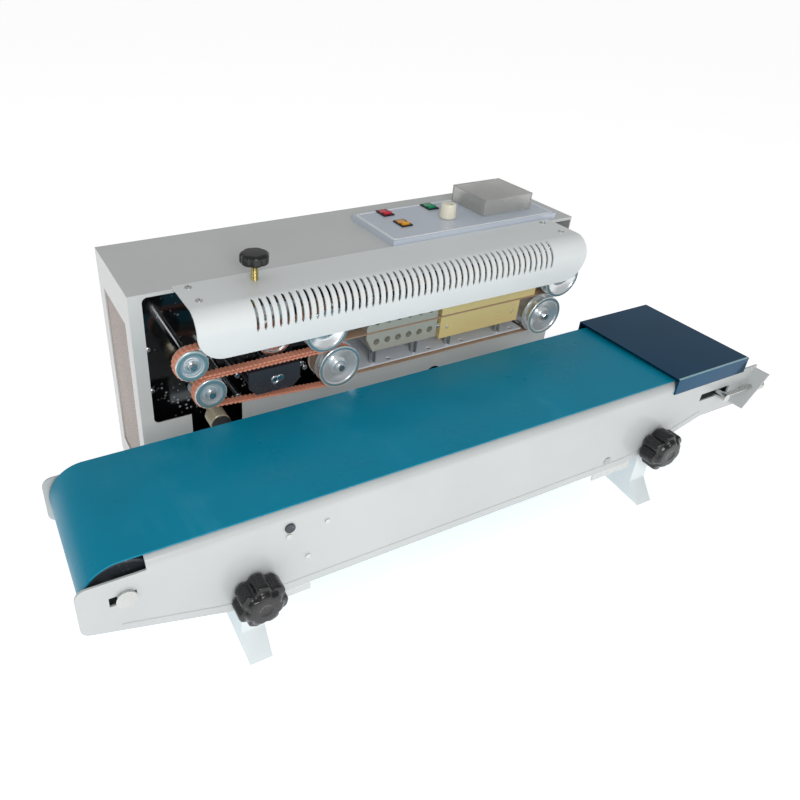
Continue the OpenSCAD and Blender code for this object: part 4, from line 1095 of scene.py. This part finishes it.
@dataclass
class Controls:
    """Control panel with its raised rim, three rockers, the speed knob and the boxed thermostat."""

    build: Build
    rim_w: float = 3.2 * MM
    rim_h: float = 0.7 * MM
    rim_inset: float = 3.5 * MM
    rim_corner: float = 5 * MM
    flutes: int = 24
    ribs: int = 20
    ticks: int = 11
    tick_sweep: float = 2.4
    tick_gap: float = 2 * MM
    tick_l: float = 3 * MM

    def make(self) -> None:
        """Builds and dresses the panel and all that is on it."""
        self.build.copies((
            ("control_panel", PANEL, 1.2),
            ("switch_frames", BLACK_PLASTIC, 0.5),
        ))
        for node, finish in (("red_rocker", RED), ("amber_rocker", AMBER), ("green_rocker", GREEN)):
            self.build.copy(node, finish, ease=0.7, sharp=12)
        self.build.copies((
            ("temperature_controller", CONTROLLER, 1.0),
            ("clear_cover", CLEAR, 0.6),
        ))
        self.rim()
        self.speed_knob()
        self.thermostat()

    def top(self) -> tuple[np.ndarray, np.ndarray, float]:
        """The panel's corners and the height of its top face."""
        low, high = self.build.box("control_panel")
        knob_low, _ = self.build.box("switch_frames")
        return low, high, knob_low[2] + 8 * MM

    def rim(self) -> None:
        """A half round bead round the panel's top, a little inside its edge, coloured lighter than the panel
        as a painted highlight.
        """
        low, high, top = self.top()
        line = rounded_box(low[:2] + self.rim_inset, high[:2] - self.rim_inset, self.rim_corner)
        path = np.column_stack([line, np.full(len(line), top)])
        bead = raised_line(path, (0, 0, 1), self.rim_w, self.rim_h, True)
        self.build.piece("panel_rim", *bead, RIM, "control_panel")

    def speed_knob(self) -> None:
        """A tapered knob: the profile turned about Z, with fine flutes near its outer radius."""
        _, high, middle, radius = self.build.round_size("speed_knob")
        _, _, top = self.top()
        rise = high[2] - top
        profile = [(-6 * MM, 0), (-6 * MM, 3 * MM), (0.3 * MM, 3 * MM), (0.3 * MM, radius),
                   (2 * MM, radius),
                   (rise - 1.5 * MM, radius * 0.9), (rise, radius * 0.78), (rise, 0)]
        axis = Axis.make((middle[0], middle[1], top), "z")
        shape = turned(axis, fillet(profile, 0.8 * MM), lobes=self.flutes, wave=-0.015,
                       reach=(radius * 0.7, radius * 0.85), segments=192)
        self.build.lathe("fluted_speed_knob", "speed_knob", CREAM, shape, True)
        mark = extruded(Axis.make((middle[0], middle[1] - radius * 0.42, high[2] - 0.25 * MM), "z"),
                        rounded_box((-0.5 * MM, -radius * 0.3), (0.5 * MM, radius * 0.3), 0.3 * MM),
                        0, 0.25 * MM)
        self.build.piece("speed_knob_mark", *mark, BLACK_PLASTIC, "speed_knob")

    def thermostat(self) -> None:
        """The dial turned about Z with ribs, and tick marks in an arc round it."""
        low, high, middle, radius = self.build.round_size("temperature_dial")
        rise = high[2] - low[2]
        profile = [(0, 0), (0, radius), (rise * 0.7, radius * 0.96), (rise, radius * 0.8),
                   (rise * 0.9, radius * 0.5), (rise * 0.9, 0)]
        shape = turned(Axis.make((middle[0], middle[1], low[2]), "z"), fillet(profile, 0.5 * MM),
                       lobes=self.ribs, wave=-0.03, reach=(radius * 0.6, radius * 0.9), segments=160)
        self.build.lathe("ribbed_dial", "temperature_dial", ZINC, shape, True)
        parts = []
        for angle in np.linspace(-self.tick_sweep, self.tick_sweep, self.ticks):
            along = np.array([math.sin(angle), math.cos(angle)])
            square = np.array([along[1], -along[0]])
            start = middle[:2] + along * (radius + self.tick_gap)
            corners = [start - square * 0.3 * MM, start + square * 0.3 * MM]
            corners += [corners[1] + along * self.tick_l, corners[0] + along * self.tick_l]
            axis = Axis.make((0, 0, low[2] - 0.3 * MM), "z")
            parts.append(extruded(axis, np.array(corners), 0, 0.25 * MM))
        self.build.piece("dial_ticks", *join_parts(parts), CREAM, "temperature_controller")


# ---------------------------------------------------------------- sealing head


@dataclass
class SealingHead:
    """Band wheels, pulleys, belts, bands, heating and cooling blocks, and the embossing wheel."""

    build: Build
    rim_over: float = 1.0 * MM
    pulley_under: float = 1.5 * MM
    half_gap: float = 0.15 * MM
    belt_t: float = 3.0 * MM
    band_t: float = 0.6 * MM
    lane_gap: float = 0.3 * MM
    flange: float = 2.0 * MM
    guide_lane: float = 10.0 * MM
    rib: float = 1.0 * MM
    band_lane: float = 15.0 * MM
    bore: float = 5.05 * MM
    shaft: float = 5.0 * MM
    tooth_pitch: float = 5.0 * MM
    tooth_h: float = 0.95 * MM
    gear_teeth: int = 27
    sprocket_r: float = 17.9 * MM
    gear_ends: tuple[float, float] = (10 * MM, 2 * MM)
    proud: float = 0.12 * MM
    spring_r: float = 5.1 * MM
    spring_wire: float = 0.7 * MM
    spring_turns: int = 6
    spring_space: float = 12.5 * MM
    block_screw_in: float = 10 * MM
    block_screw_r: float = 2.4 * MM
    block_screw_h: float = 0.7 * MM
    nut_across: float = 8 * MM
    nut_h: float = 1.6 * MM

    def make(self) -> None:
        """Builds and dresses the whole head."""
        self.build.copies((
            ("lower_heater", GOLD, 0.6),
            ("upper_heater", GOLD, 0.6),
            ("lower_cooler", MILLED, 0.5),
            ("upper_cooler", MILLED, 0.5),
            ("lower_shelf", SHELF, 0.4),
            ("upper_shelf", SHELF, 0.4),
            ("block_posts", POLISHED, 0.3),
            ("heater_cartridges", POLISHED, 0.4),
            ("head_pins", POLISHED, 0.8),
            ("axles", POLISHED, 0.6),
            ("bearings", POLISHED, 0.4),
            ("press_bracket", BRACKET, 0.7),
            ("carriage_guide", BRACKET, 0.5),
            ("emboss_carriage", ZINC, 0.6),
        ))
        for node in ("lower_idle_wheel", "upper_idle_wheel"):
            self.band_wheel(node, driven=False)
        for node in ("lower_drive_wheel", "upper_drive_wheel"):
            self.band_wheel(node, driven=True)
        for node in ("lower_pulley", "upper_pulley"):
            self.pulley(node)
        self.plain_wheel("emboss_wheel", POLISHED)
        self.plain_wheel("press_wheel", SILICONE)
        self.guide_belts()
        self.seal_bands()
        self.springs()
        self.block_screws()
        self.axle_nuts()

    def wheel_at(self, node: str) -> tuple[np.ndarray, float, float]:
        """A wheel's axis point at its front face, its rim radius and the depth behind that face."""
        low, high = self.build.box(node)
        front = self.build.box("lower_idle_wheel")[0][1]
        middle = (low + high) / 2
        if node.endswith("drive_wheel"):
            idle = self.build.box(node.replace("drive", "idle"))
            radius = (idle[1][0] - idle[0][0]) / 2
        else:
            radius = (high[0] - low[0]) / 2
        return np.array([middle[0], front, middle[2]]), radius, high[1] - front

    def drive_axis(self, node: str) -> np.ndarray:
        """A driven wheel's axis point, from its idle partner's height and the gear pair's places."""
        at, _, _ = self.wheel_at(node)
        partner = self.wheel_at(node.replace("drive", "idle"))[0]
        low, high = self.build.box(node)
        return np.array([(low[0] + high[0]) / 2, at[1], partner[2]])

    def face(self, rim: float) -> list[tuple[float, float]]:
        """The turned front face from hub to rim: a hub, a dished floor, a cone and a flat rim."""
        return [(0.6 * MM, 8.2 * MM), (1.4 * MM, 9.0 * MM), (4.6 * MM, 10.0 * MM), (3.9 * MM, 0.52 * rim),
                (1.3 * MM, 0.80 * rim), (0.9 * MM, 0.82 * rim), (0.0, 0.84 * rim), (0.0, rim - 0.7 * MM),
                (0.7 * MM, rim)]

    def lanes(self, rim: float) -> list[tuple[float, float]]:
        """The rim's flanges and lanes behind the face, down to the rear face."""
        wheel = rim - self.rim_over
        guide = wheel - self.half_gap - self.belt_t - self.lane_gap
        band = wheel - self.half_gap - self.band_t - self.lane_gap
        a = self.flange
        b = a + self.guide_lane
        c = b + self.rib
        d = c + self.band_lane
        return [(a, rim), (a, guide), (b, guide), (b, rim), (c, rim), (c, band), (d, band), (d, rim),
                (d + a, rim)]

    def band_wheel(self, node: str, driven: bool) -> None:
        """A band wheel: face and lanes turned about Y, and on a driven one the shaft, gear and sprocket.

        Args:
            node: The wheel's CAD node.
            driven: It is keyed to a shaft.
        """
        _, rim, deep = self.wheel_at(node)
        at = self.drive_axis(node) if driven else self.wheel_at(node)[0]
        axis = Axis.make(at, "y")
        depth = 2 * self.flange + self.guide_lane + self.rib + self.band_lane
        if not driven:
            ring = [(0.6 * MM, self.bore), *self.face(rim), *self.lanes(rim), (depth, self.bore)]
            shape = turned(axis, fillet(ring, 0.35 * MM, 2, closed=True), closed=True)
        else:
            low = self.build.box(node)[0]
            gear_low, gear_high = self.gear_span()
            start = low[1] - at[1]
            line = [(start, 0), (start, self.shaft - 0.8 * MM), (start + 0.8 * MM, self.shaft),
                    (0.6 * MM, self.shaft),
                    *self.face(rim), *self.lanes(rim), (depth, self.shaft), (deep, self.shaft), (deep, 0)]
            if node.startswith("lower"):
                chain_low, chain_high = self.build.box("drive_chain")
                near, far = chain_low[1] - at[1], chain_high[1] - at[1]
                line[-2:-2] = [(near, self.shaft), (near, self.sprocket_r), (far, self.sprocket_r),
                               (far, self.shaft)]
            shape = turned(axis, fillet(line, 0.35 * MM, 2))
            gear = extruded(axis, self.gear_outline(node), gear_low - at[1], gear_high - at[1], 0.4 * MM)
            self.build.piece(node.replace("wheel", "gear"), *gear, ROLLER_STEEL, node)
        self.build.lathe(node + "_turned", node, TURNED, shape, True, 24)
        self.tinted_ring(node, axis, 0.86 * rim, 0.955 * rim, 0.2 * MM)

    def tinted_ring(self, node: str, axis: Axis, inner: float, outer: float, depth: float) -> None:
        """A thin ring set in a wheel's face.

        Args:
            node: The wheel's CAD node.
            axis: The wheel's axis from its face.
            inner: The ring's inner radius.
            outer: Its outer radius.
            depth: How deep it goes in.
        """
        tint = [(-self.proud, inner), (-self.proud, outer), (depth, outer), (depth, inner)]
        ring = turned(axis, fillet(tint, 0.1 * MM, 2, closed=True), closed=True)
        self.build.lathe(node + "_rim", node, RIM_TINT, ring)

    def gear_span(self) -> tuple[float, float]:
        """Where the gear pair starts and ends along Y, from the upper shaft's end."""
        end = self.build.box("upper_drive_wheel")[1][1]
        return end - self.gear_ends[0], end - self.gear_ends[1]

    def gear_outline(self, node: str) -> np.ndarray:
        """A gear's outline: each tooth goes from root to pitch circle to tip and back, by angle shares.

        The first tooth of the lower gear points at the upper gear, which has a gap there.
        """
        low, high = self.drive_axis("lower_drive_wheel"), self.drive_axis("upper_drive_wheel")
        across = high - low
        pitch_r = math.hypot(across[0], across[2]) / 2
        towards = math.atan2(across[2], across[0])
        if node.startswith("upper"):
            towards += math.pi + math.pi / self.gear_teeth
        module = 2 * pitch_r / self.gear_teeth
        shares = np.array([-0.32, -0.23, -0.10, 0.10, 0.23, 0.32])
        radii = pitch_r + module * np.array([-1.15, 0, 0.85, 0.85, 0, -1.15])
        angle = towards + 2 * np.pi / self.gear_teeth * (np.arange(self.gear_teeth)[:, None] + shares)
        radius = np.broadcast_to(radii, angle.shape)
        return np.stack([radius * np.sin(angle), radius * np.cos(angle)], axis=-1).reshape(-1, 2)

    def pulley(self, node: str) -> None:
        """A small belt pulley: a flat face with a ring groove, a flange, the belt's lane and a flange."""
        at, rim, _ = self.wheel_at(node)
        lane = rim + self.pulley_under - self.half_gap - self.belt_t - self.lane_gap
        a, b = self.flange, self.flange + self.guide_lane
        ring = [(0.5 * MM, self.bore), (0.5 * MM, 0.44 * rim), (2.2 * MM, 0.47 * rim),
                (2.2 * MM, 0.62 * rim),
                (0.2 * MM, 0.66 * rim), (0.0, rim - 0.8 * MM), (0.8 * MM, rim), (a, rim), (a, lane),
                (b, lane), (b, rim), (b + a, rim), (b + a, self.bore)]
        axis = Axis.make(at, "y")
        shape = turned(axis, fillet(ring, 0.3 * MM, 2, closed=True), closed=True)
        self.build.lathe(node + "_turned", node, TURNED, shape, True, 24)
        self.tinted_ring(node, axis, 0.72 * rim, 0.94 * rim, 0.25 * MM)

    def plain_wheel(self, node: str, finish: Finish) -> None:
        """A plain wheel with rounded rims and a recess round its hub, turned about Y."""
        low, high, middle, rim = self.build.round_size(node)
        deep = high[1] - low[1]
        ring = [(0, self.bore), (0, 0.42 * rim), (1.2 * MM, 0.46 * rim), (1.2 * MM, 0.74 * rim),
                (0, 0.78 * rim),
                (0, rim - 0.6 * MM), (0.6 * MM, rim), (deep - 0.6 * MM, rim), (deep, rim - 0.6 * MM),
                (deep, self.bore)]
        axis = Axis.make((middle[0], low[1], middle[2]), "y")
        shape = turned(axis, fillet(ring, 0.3 * MM, 2, closed=True), closed=True)
        self.build.lathe(node + "_turned", node, finish, shape, True)

    def loops(self, thickness: float, pulleys: bool) -> list[Loop]:
        """The lower and the upper loop at the middle of their thickness."""
        found = []
        for level in ("lower", "upper"):
            drive = self.drive_axis(level + "_drive_wheel")
            rim = self.wheel_at(level + "_idle_wheel")[1]
            wheel_r = rim - self.rim_over - self.half_gap - thickness / 2
            if pulleys:
                other, small, _ = self.wheel_at(level + "_pulley")
                other_r = small + self.pulley_under - self.half_gap - thickness / 2
                found.append(Loop((other[0], other[2]), other_r, (drive[0], drive[2]), wheel_r))
            else:
                other, _, _ = self.wheel_at(level + "_idle_wheel")
                found.append(Loop((drive[0], drive[2]), wheel_r, (other[0], other[2]), wheel_r))
        return found

    def guide_belts(self) -> None:
        """Two toothed belts, with teeth inside and out."""
        low, high = self.build.box("guide_belts")
        half = self.belt_t / 2
        section = rounded_box((low[1], -half), (high[1], half), 0.3 * MM)
        parts = [belt(loop, section, self.tooth_pitch / 10, self.tooth_h, self.tooth_pitch)
                 for loop in self.loops(self.belt_t, True)]
        belts = join_parts([p[:2] for p in parts])
        self.build.piece("toothed_belts", *belts, ORANGE, "guide_belts", stands_for=True)

    def seal_bands(self) -> None:
        """Two thin smooth bands of coated cloth."""
        low, high = self.build.box("seal_bands")
        half = self.band_t / 2
        section = rounded_box((low[1], -half), (high[1], half), 0.2 * MM)
        parts = [belt(loop, section, 2.5 * MM) for loop in self.loops(self.band_t, False)]
        points, faces = join_parts([p[:2] for p in parts])
        self.build.piece("cloth_bands", points, faces, TAN, "seal_bands", stands_for=True,
                         uv=np.concatenate([p[2] for p in parts]))

    def springs(self) -> None:
        """A coil spring round each post above the blocks."""
        _, high = self.build.box("block_posts")
        parts = []
        for a, b in self.build.islands("block_posts"):
            if b[2] > high[2] - 1 * MM:
                middle = (a + b) / 2
                rise = b[2] - a[2] - self.spring_space
                axis = Axis.make((middle[0], middle[1], a[2]), "z")
                parts.append(helix(axis, self.spring_r, self.spring_wire, 1 * MM, rise, self.spring_turns))
        self.build.piece("post_springs", *join_parts(parts), ZINC, "block_posts")

    def block_screws(self) -> None:
        """Pan heads on the heating blocks' front faces, by their ends, and on the bracket's middle."""
        parts = []
        for node in ("lower_heater", "upper_heater"):
            low, high = self.build.box(node)
            for x in (low[0] + self.block_screw_in, high[0] - self.block_screw_in):
                axis = Axis.make((x, low[1], (low[2] + high[2]) / 2), "-y")
                parts.append(screw_head(axis, self.block_screw_r, self.block_screw_h))
        self.build.piece("block_screws", *join_parts(parts), BRASS, "lower_heater")
        low, high = self.build.box("press_bracket")
        middle = np.array([(low[0] + high[0]) / 2, low[1], (low[2] + high[2]) / 2])
        hub = turned(Axis.make(middle, "-y"), fillet([(0, 5 * MM), (0.9 * MM, 5 * MM), (1.4 * MM, 3.6 * MM),
                                                      (0.8 * MM, 2.8 * MM), (0.8 * MM, 0)], 0.3 * MM))
        self.build.lathe("bracket_screw", "press_bracket", POLISHED, hub)

    def axle_nuts(self) -> None:
        """A hexagon on the front end of each axle and of each driven shaft."""
        parts = []
        for low, high in self.build.islands("axles"):
            middle = (low + high) / 2
            parts.append(self.end_hexagon((middle[0], low[1], middle[2]), 0.3))
        self.build.piece("axle_hexagons", *join_parts(parts), ZINC, "axles")
        for node in ("lower_drive_wheel", "upper_drive_wheel"):
            at = self.drive_axis(node)
            front = self.build.box(node)[0][1]
            self.build.piece(node + "_hexagon", *self.end_hexagon((at[0], front, at[2]), 0.5), ZINC, node)

    def end_hexagon(self, at: Sequence[float], turn: float) -> tuple[np.ndarray, list]:
        """A hexagon on an axle's front end, from its middle and its turn in radians."""
        return extruded(Axis.make(at, "-y"), hexagon(self.nut_across, turn), -0.2 * MM, self.nut_h, 0.5 * MM)


# ---------------------------------------------------------------- pressing gear and drive


@dataclass
class Drive:
    """The pressure knob and what drives the machine: motor, chain, shaft, fan, board and inlet."""

    build: Build
    knob_lobes: int = 7
    thread_pitch: float = 1.5 * MM
    grip: float = 12 * MM
    stem_r: float = 3.9 * MM

    def make(self) -> None:
        """Builds and dresses the drive."""
        self.build.copies((
            ("gear_motor", MOTOR, 0.8),
            ("drive_chain", CHAIN, 0.0),
            ("input_shaft", BRASS, 0.5),
            ("fan_housing", BLACK_PLASTIC, 0.6),
            ("fan_blades", BLACK_PLASTIC, 0.0),
            ("power_inlet", BLACK_PLASTIC, 0.5),
            ("control_board", BOARD, 0.0),
        ))
        self.pressure_knob()

    def pressure_knob(self) -> None:
        """A lobed grip on a threaded stem, both turned about Z inside the CAD knob's size."""
        low, high, middle, radius = self.build.round_size("pressure_knob")
        grip = self.grip
        profile = [(0, 0), (0, radius * 0.8), (1.5 * MM, radius * 0.985), (grip - 2 * MM, radius * 0.985),
                   (grip, radius * 0.8), (grip, 0)]
        shape = turned(Axis.make((middle[0], middle[1], high[2] - grip), "z"), fillet(profile, 1.5 * MM),
                       lobes=self.knob_lobes, wave=-0.07, reach=(radius * 0.5, radius * 0.95), segments=168)
        self.build.lathe("pressure_grip", "pressure_knob", PHENOLIC, shape, True)
        start, end = low[2], high[2] - grip + 0.5 * MM
        axis = Axis.make((middle[0], middle[1], start), "z")
        stem = threaded(axis, self.stem_r, end - start, self.thread_pitch)
        self.build.lathe("pressure_stem", "pressure_knob", YELLOW_ZINC, stem)


def threaded(axis: Axis, radius: float, length: float, pitch: float, depth: float = 0.45 * MM) -> tuple:
    """A rod with ridges that repeat along it like a thread's crests.

    The profile's radius goes from the root to the crest and back once a pitch.

    Args:
        axis: The rod's axis, from its start.
        radius: Crest radius.
        length: The rod's length.
        pitch: Distance between crests.
        depth: Height of a crest over its root.

    Returns:
        Points, quads and a UV pair a point.
    """
    count = max(2, int(length / pitch))
    steps = np.linspace(0, length, count * 2 + 1)
    ridge = np.where(np.arange(len(steps)) % 2 == 1, radius, radius - depth)
    line = np.concatenate([[[0, 0]], np.stack([steps, ridge], axis=1), [[length, 0]]])
    return turned(axis, line, segments=40)


# ---------------------------------------------------------------- conveyor


@dataclass
class Conveyor:
    """The conveyor: its frame, belt, polished cover, rollers, clamp knobs and stands."""

    build: Build
    belt_t: float = 1.6 * MM
    front: float = -162.1 * MM
    left_end: float = -414 * MM
    bead_up: float = 9 * MM
    edge: tuple = ((34, 89), (128, 64), (630, 64), (740, 96.5))
    bead_w: float = 2.4 * MM
    bead_h: float = 0.7 * MM
    lobes: int = 7
    stem_r: float = 3.5 * MM
    stem_pitch: float = 1.25 * MM
    hub_r: float = 9 * MM
    hub: float = 2 * MM

    def make(self) -> None:
        """Builds and dresses the conveyor and its stands."""
        self.build.copies((
            ("conveyor_frame", PLATES, 0.4),
            ("stands", LEGS, 0.5),
            ("cover_plate", MIRROR, 0.25),
            ("conveyor_fittings", ZINC, 0.4),
            ("drive_roller", ROLLER, 0.5),
            ("left_roller", ROLLER, 0.5),
            ("right_roller", ROLLER, 0.5),
            ("return_roller", ROLLER_STEEL, 0.5),
        ))
        self.belt()
        self.cover_lip()
        self.bead()
        for node in ("left_star_knob", "right_star_knob"):
            self.star_knob(node)

    def belt(self) -> None:
        """The wide belt round both end rollers, its section a flat strip with rounded rims."""
        low, high = self.build.box("conveyor_belt")
        half = self.belt_t / 2
        radius = (high[2] - low[2]) / 2 - half
        z = high[2] - half - radius
        loop = Loop((low[0] + radius + half, z), radius, (high[0] - radius - half, z), radius)
        section = rounded_box((low[1], -half), (high[1], half), 0.5 * MM)
        points, quads, uv = belt(loop, section, 4 * MM)
        self.build.piece("smooth_belt", points, quads, TEAL, "conveyor_belt", stands_for=True, uv=uv)

    def cover_lip(self) -> None:
        """A thin strip along the front of the polished cover's top, coloured bright as a painted highlight
        of the sheet's front fold.
        """
        low, high = self.build.box("cover_plate")
        lip = rounded_box((low[0] + 0.5 * MM, low[1]), (high[0] - 0.5 * MM, low[1] + 2.2 * MM), 0.5 * MM)
        strip = extruded(Axis.make((0, 0, high[2] - 0.3 * MM), "z"), lip, 0, 0.32 * MM)
        self.build.piece("cover_lip", *strip, LIP_HIGHLIGHT, "cover_plate")

    def bead(self) -> None:
        """A pressed line along the front plate, a little above its lower edge.

        It follows the edge's corners: the left slope, the level middle and the right slope.
        """
        edge = np.array(self.edge) * MM
        edge[:, 1] += self.bead_up
        line = fillet(edge, 12 * MM, 6)
        steps = np.concatenate([[0], np.cumsum(np.linalg.norm(np.diff(line, axis=0), axis=1))])
        at = np.linspace(0, steps[-1], 160)
        path = np.column_stack([np.interp(at, steps, line[:, 0]) + self.left_end, np.full(160, self.front),
                                np.interp(at, steps, line[:, 1])])
        bead = raised_line(path, (0, -1, 0), self.bead_w, self.bead_h, False)
        self.build.piece("plate_bead", *bead, PLATES, "conveyor_frame")

    def star_knob(self, node: str) -> None:
        """A lobed grip and its threaded stem, both turned about Y inside the CAD knob's size."""
        low, high, middle, radius = self.build.round_size(node)
        grip = self.grip_depth(node)
        hub = self.hub
        profile = [(0.7 * MM, 0), (0.7 * MM, radius * 0.2), (0, radius * 0.28), (0.2 * MM, radius * 0.6),
                   (1.4 * MM, radius * 0.7), (4.6 * MM, radius * 0.78), (5.4 * MM, radius * 0.96),
                   (7.5 * MM, radius * 0.99), (grip - 2.5 * MM, radius * 0.99), (grip, radius * 0.86),
                   (grip, self.hub_r), (grip + hub, self.hub_r - 0.2 * MM), (grip + hub, 0)]
        axis = Axis.make((middle[0], low[1], middle[2]), "y")
        shape = turned(axis, fillet(profile, 1.6 * MM, 3), lobes=self.lobes,
                       wave=-0.2, reach=(radius * 0.45, radius * 0.97), segments=196)
        self.build.lathe(node + "_grip", node, PHENOLIC, shape, True)
        start = low[1] + grip
        axis = Axis.make((middle[0], start, middle[2]), "y")
        stem = threaded(axis, self.stem_r, high[1] - start, self.stem_pitch)
        self.build.lathe(node + "_stem", node, YELLOW_ZINC, stem)

    def grip_depth(self, node: str) -> float:
        """How deep the grip is along Y: from the knob's front to its hub in front of the plate."""
        return self.front - self.build.box(node)[0][1] - self.hub - 0.3 * MM


# ---------------------------------------------------------------- studio


@dataclass
class Studio:
    """A pale floor, soft lights and the camera."""

    place: tuple[float, float, float] = (-0.43041, -0.57856, 0.60016)
    azimuth: float = -27.47
    elevation: float = 31.81
    roll: float = 1.59
    lens: float = 32.18
    shift: tuple[float, float] = (0.1169, -0.0415)
    floor_size: float = 80.0
    floor_glow: float = 0.55

    def make(self) -> None:
        """Sets the floor, the world, the lights and the camera."""
        self.floor()
        self.world()
        self.light("front_softbox", (-0.7, -1.9, 0.7), (0, 0, 0.15), 1.6, 3.2)
        self.light("camera_light", (-0.45, -1.35, 0.95), (0, 0.12, 0.2), 0.6, 9.5)
        self.light("left_softbox", (-2.3, 0.1, 1.2), (0, 0.1, 0.15), 1.2, 3)
        self.light("overhead_softbox", (0.2, 0.2, 2.4), (0, 0, 0.1), 1.6, 0.8)
        self.camera()

    def floor(self) -> None:
        half = self.floor_size / 2
        mesh = bpy.data.meshes.new("floor")
        square = [(-half, -half, 0), (half, -half, 0), (half, half, 0), (-half, half, 0)]
        mesh.from_pydata(square, [], [(0, 1, 2, 3)])
        white = STUDIO_FLOOR.material()
        surface = next(n for n in white.node_tree.nodes if n.type == "BSDF_PRINCIPLED")
        surface.inputs["Emission Color"].default_value = (1.0, 1.0, 1.0, 1.0)
        surface.inputs["Emission Strength"].default_value = self.floor_glow
        mesh.materials.append(white)
        floor = bpy.data.objects.new("floor", mesh)
        bpy.context.scene.collection.objects.link(floor)

    def world(self) -> None:
        """An even white world."""
        world = bpy.data.worlds.new("studio")
        world.use_nodes = True
        back = world.node_tree.nodes["Background"]
        back.inputs["Color"].default_value = (1.0, 1.0, 1.0, 1.0)
        back.inputs["Strength"].default_value = 0.44
        bpy.context.scene.world = world
        bpy.context.scene.view_settings.view_transform = "Standard"

    def light(self, name: str, place: Sequence[float], target: Sequence[float], size: float,
              power: float) -> None:
        """A square area light turned at a target.

        Args:
            name: The light's name.
            place: Where it stands, in metres.
            target: What it is turned at.
            size: Its side in metres.
            power: Its power in watts.
        """
        data = bpy.data.lights.new(name, "AREA")
        data.size, data.energy = size, power
        lamp = bpy.data.objects.new(name, data)
        lamp.location = place
        lamp.rotation_euler = (Vector(target) - Vector(place)).to_track_quat("-Z", "Y").to_euler()
        bpy.context.scene.collection.objects.link(lamp)

    def camera(self) -> None:
        """The camera, from its azimuth, elevation and roll.

        The direction back from the target is (sin a cos e, -cos a cos e, sin e), right is
        (cos a, sin a, 0) and up is their cross product; right and up are then turned by the roll.
        """
        a, e, r = (math.radians(v) for v in (self.azimuth, self.elevation, self.roll))
        back = np.array([math.sin(a) * math.cos(e), -math.cos(a) * math.cos(e), math.sin(e)])
        right = np.array([math.cos(a), math.sin(a), 0.0])
        up = np.cross(back, right)
        turned_right = math.cos(r) * right + math.sin(r) * up
        turned_up = -math.sin(r) * right + math.cos(r) * up
        data = bpy.data.cameras.new("camera")
        data.lens, data.sensor_width = self.lens, 36.0
        data.shift_x, data.shift_y = self.shift
        data.dof.use_dof = False
        eye = bpy.data.objects.new("camera", data)
        matrix = Matrix(np.column_stack([turned_right, turned_up, back]).tolist()).to_4x4()
        matrix.translation = Vector(self.place)
        eye.matrix_world = matrix
        bpy.context.scene.collection.objects.link(eye)
        bpy.context.scene.camera = eye


def corners(bounds: Iterable) -> list[list[float]]:
    """A pair of corners as plain lists."""
    return [[float(v) for v in corner] for corner in bounds]


def main() -> None:
    """Loads the frame, builds each sub-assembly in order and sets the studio."""
    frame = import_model()
    build = Build(frame)
    for kind in (Case, Hood, Controls, SealingHead, Drive, Conveyor):
        part = kind(build)
        log.info("building %s", type(part).__name__)
        part.make()
    Studio().make()


if __name__ == "__main__":
    main()
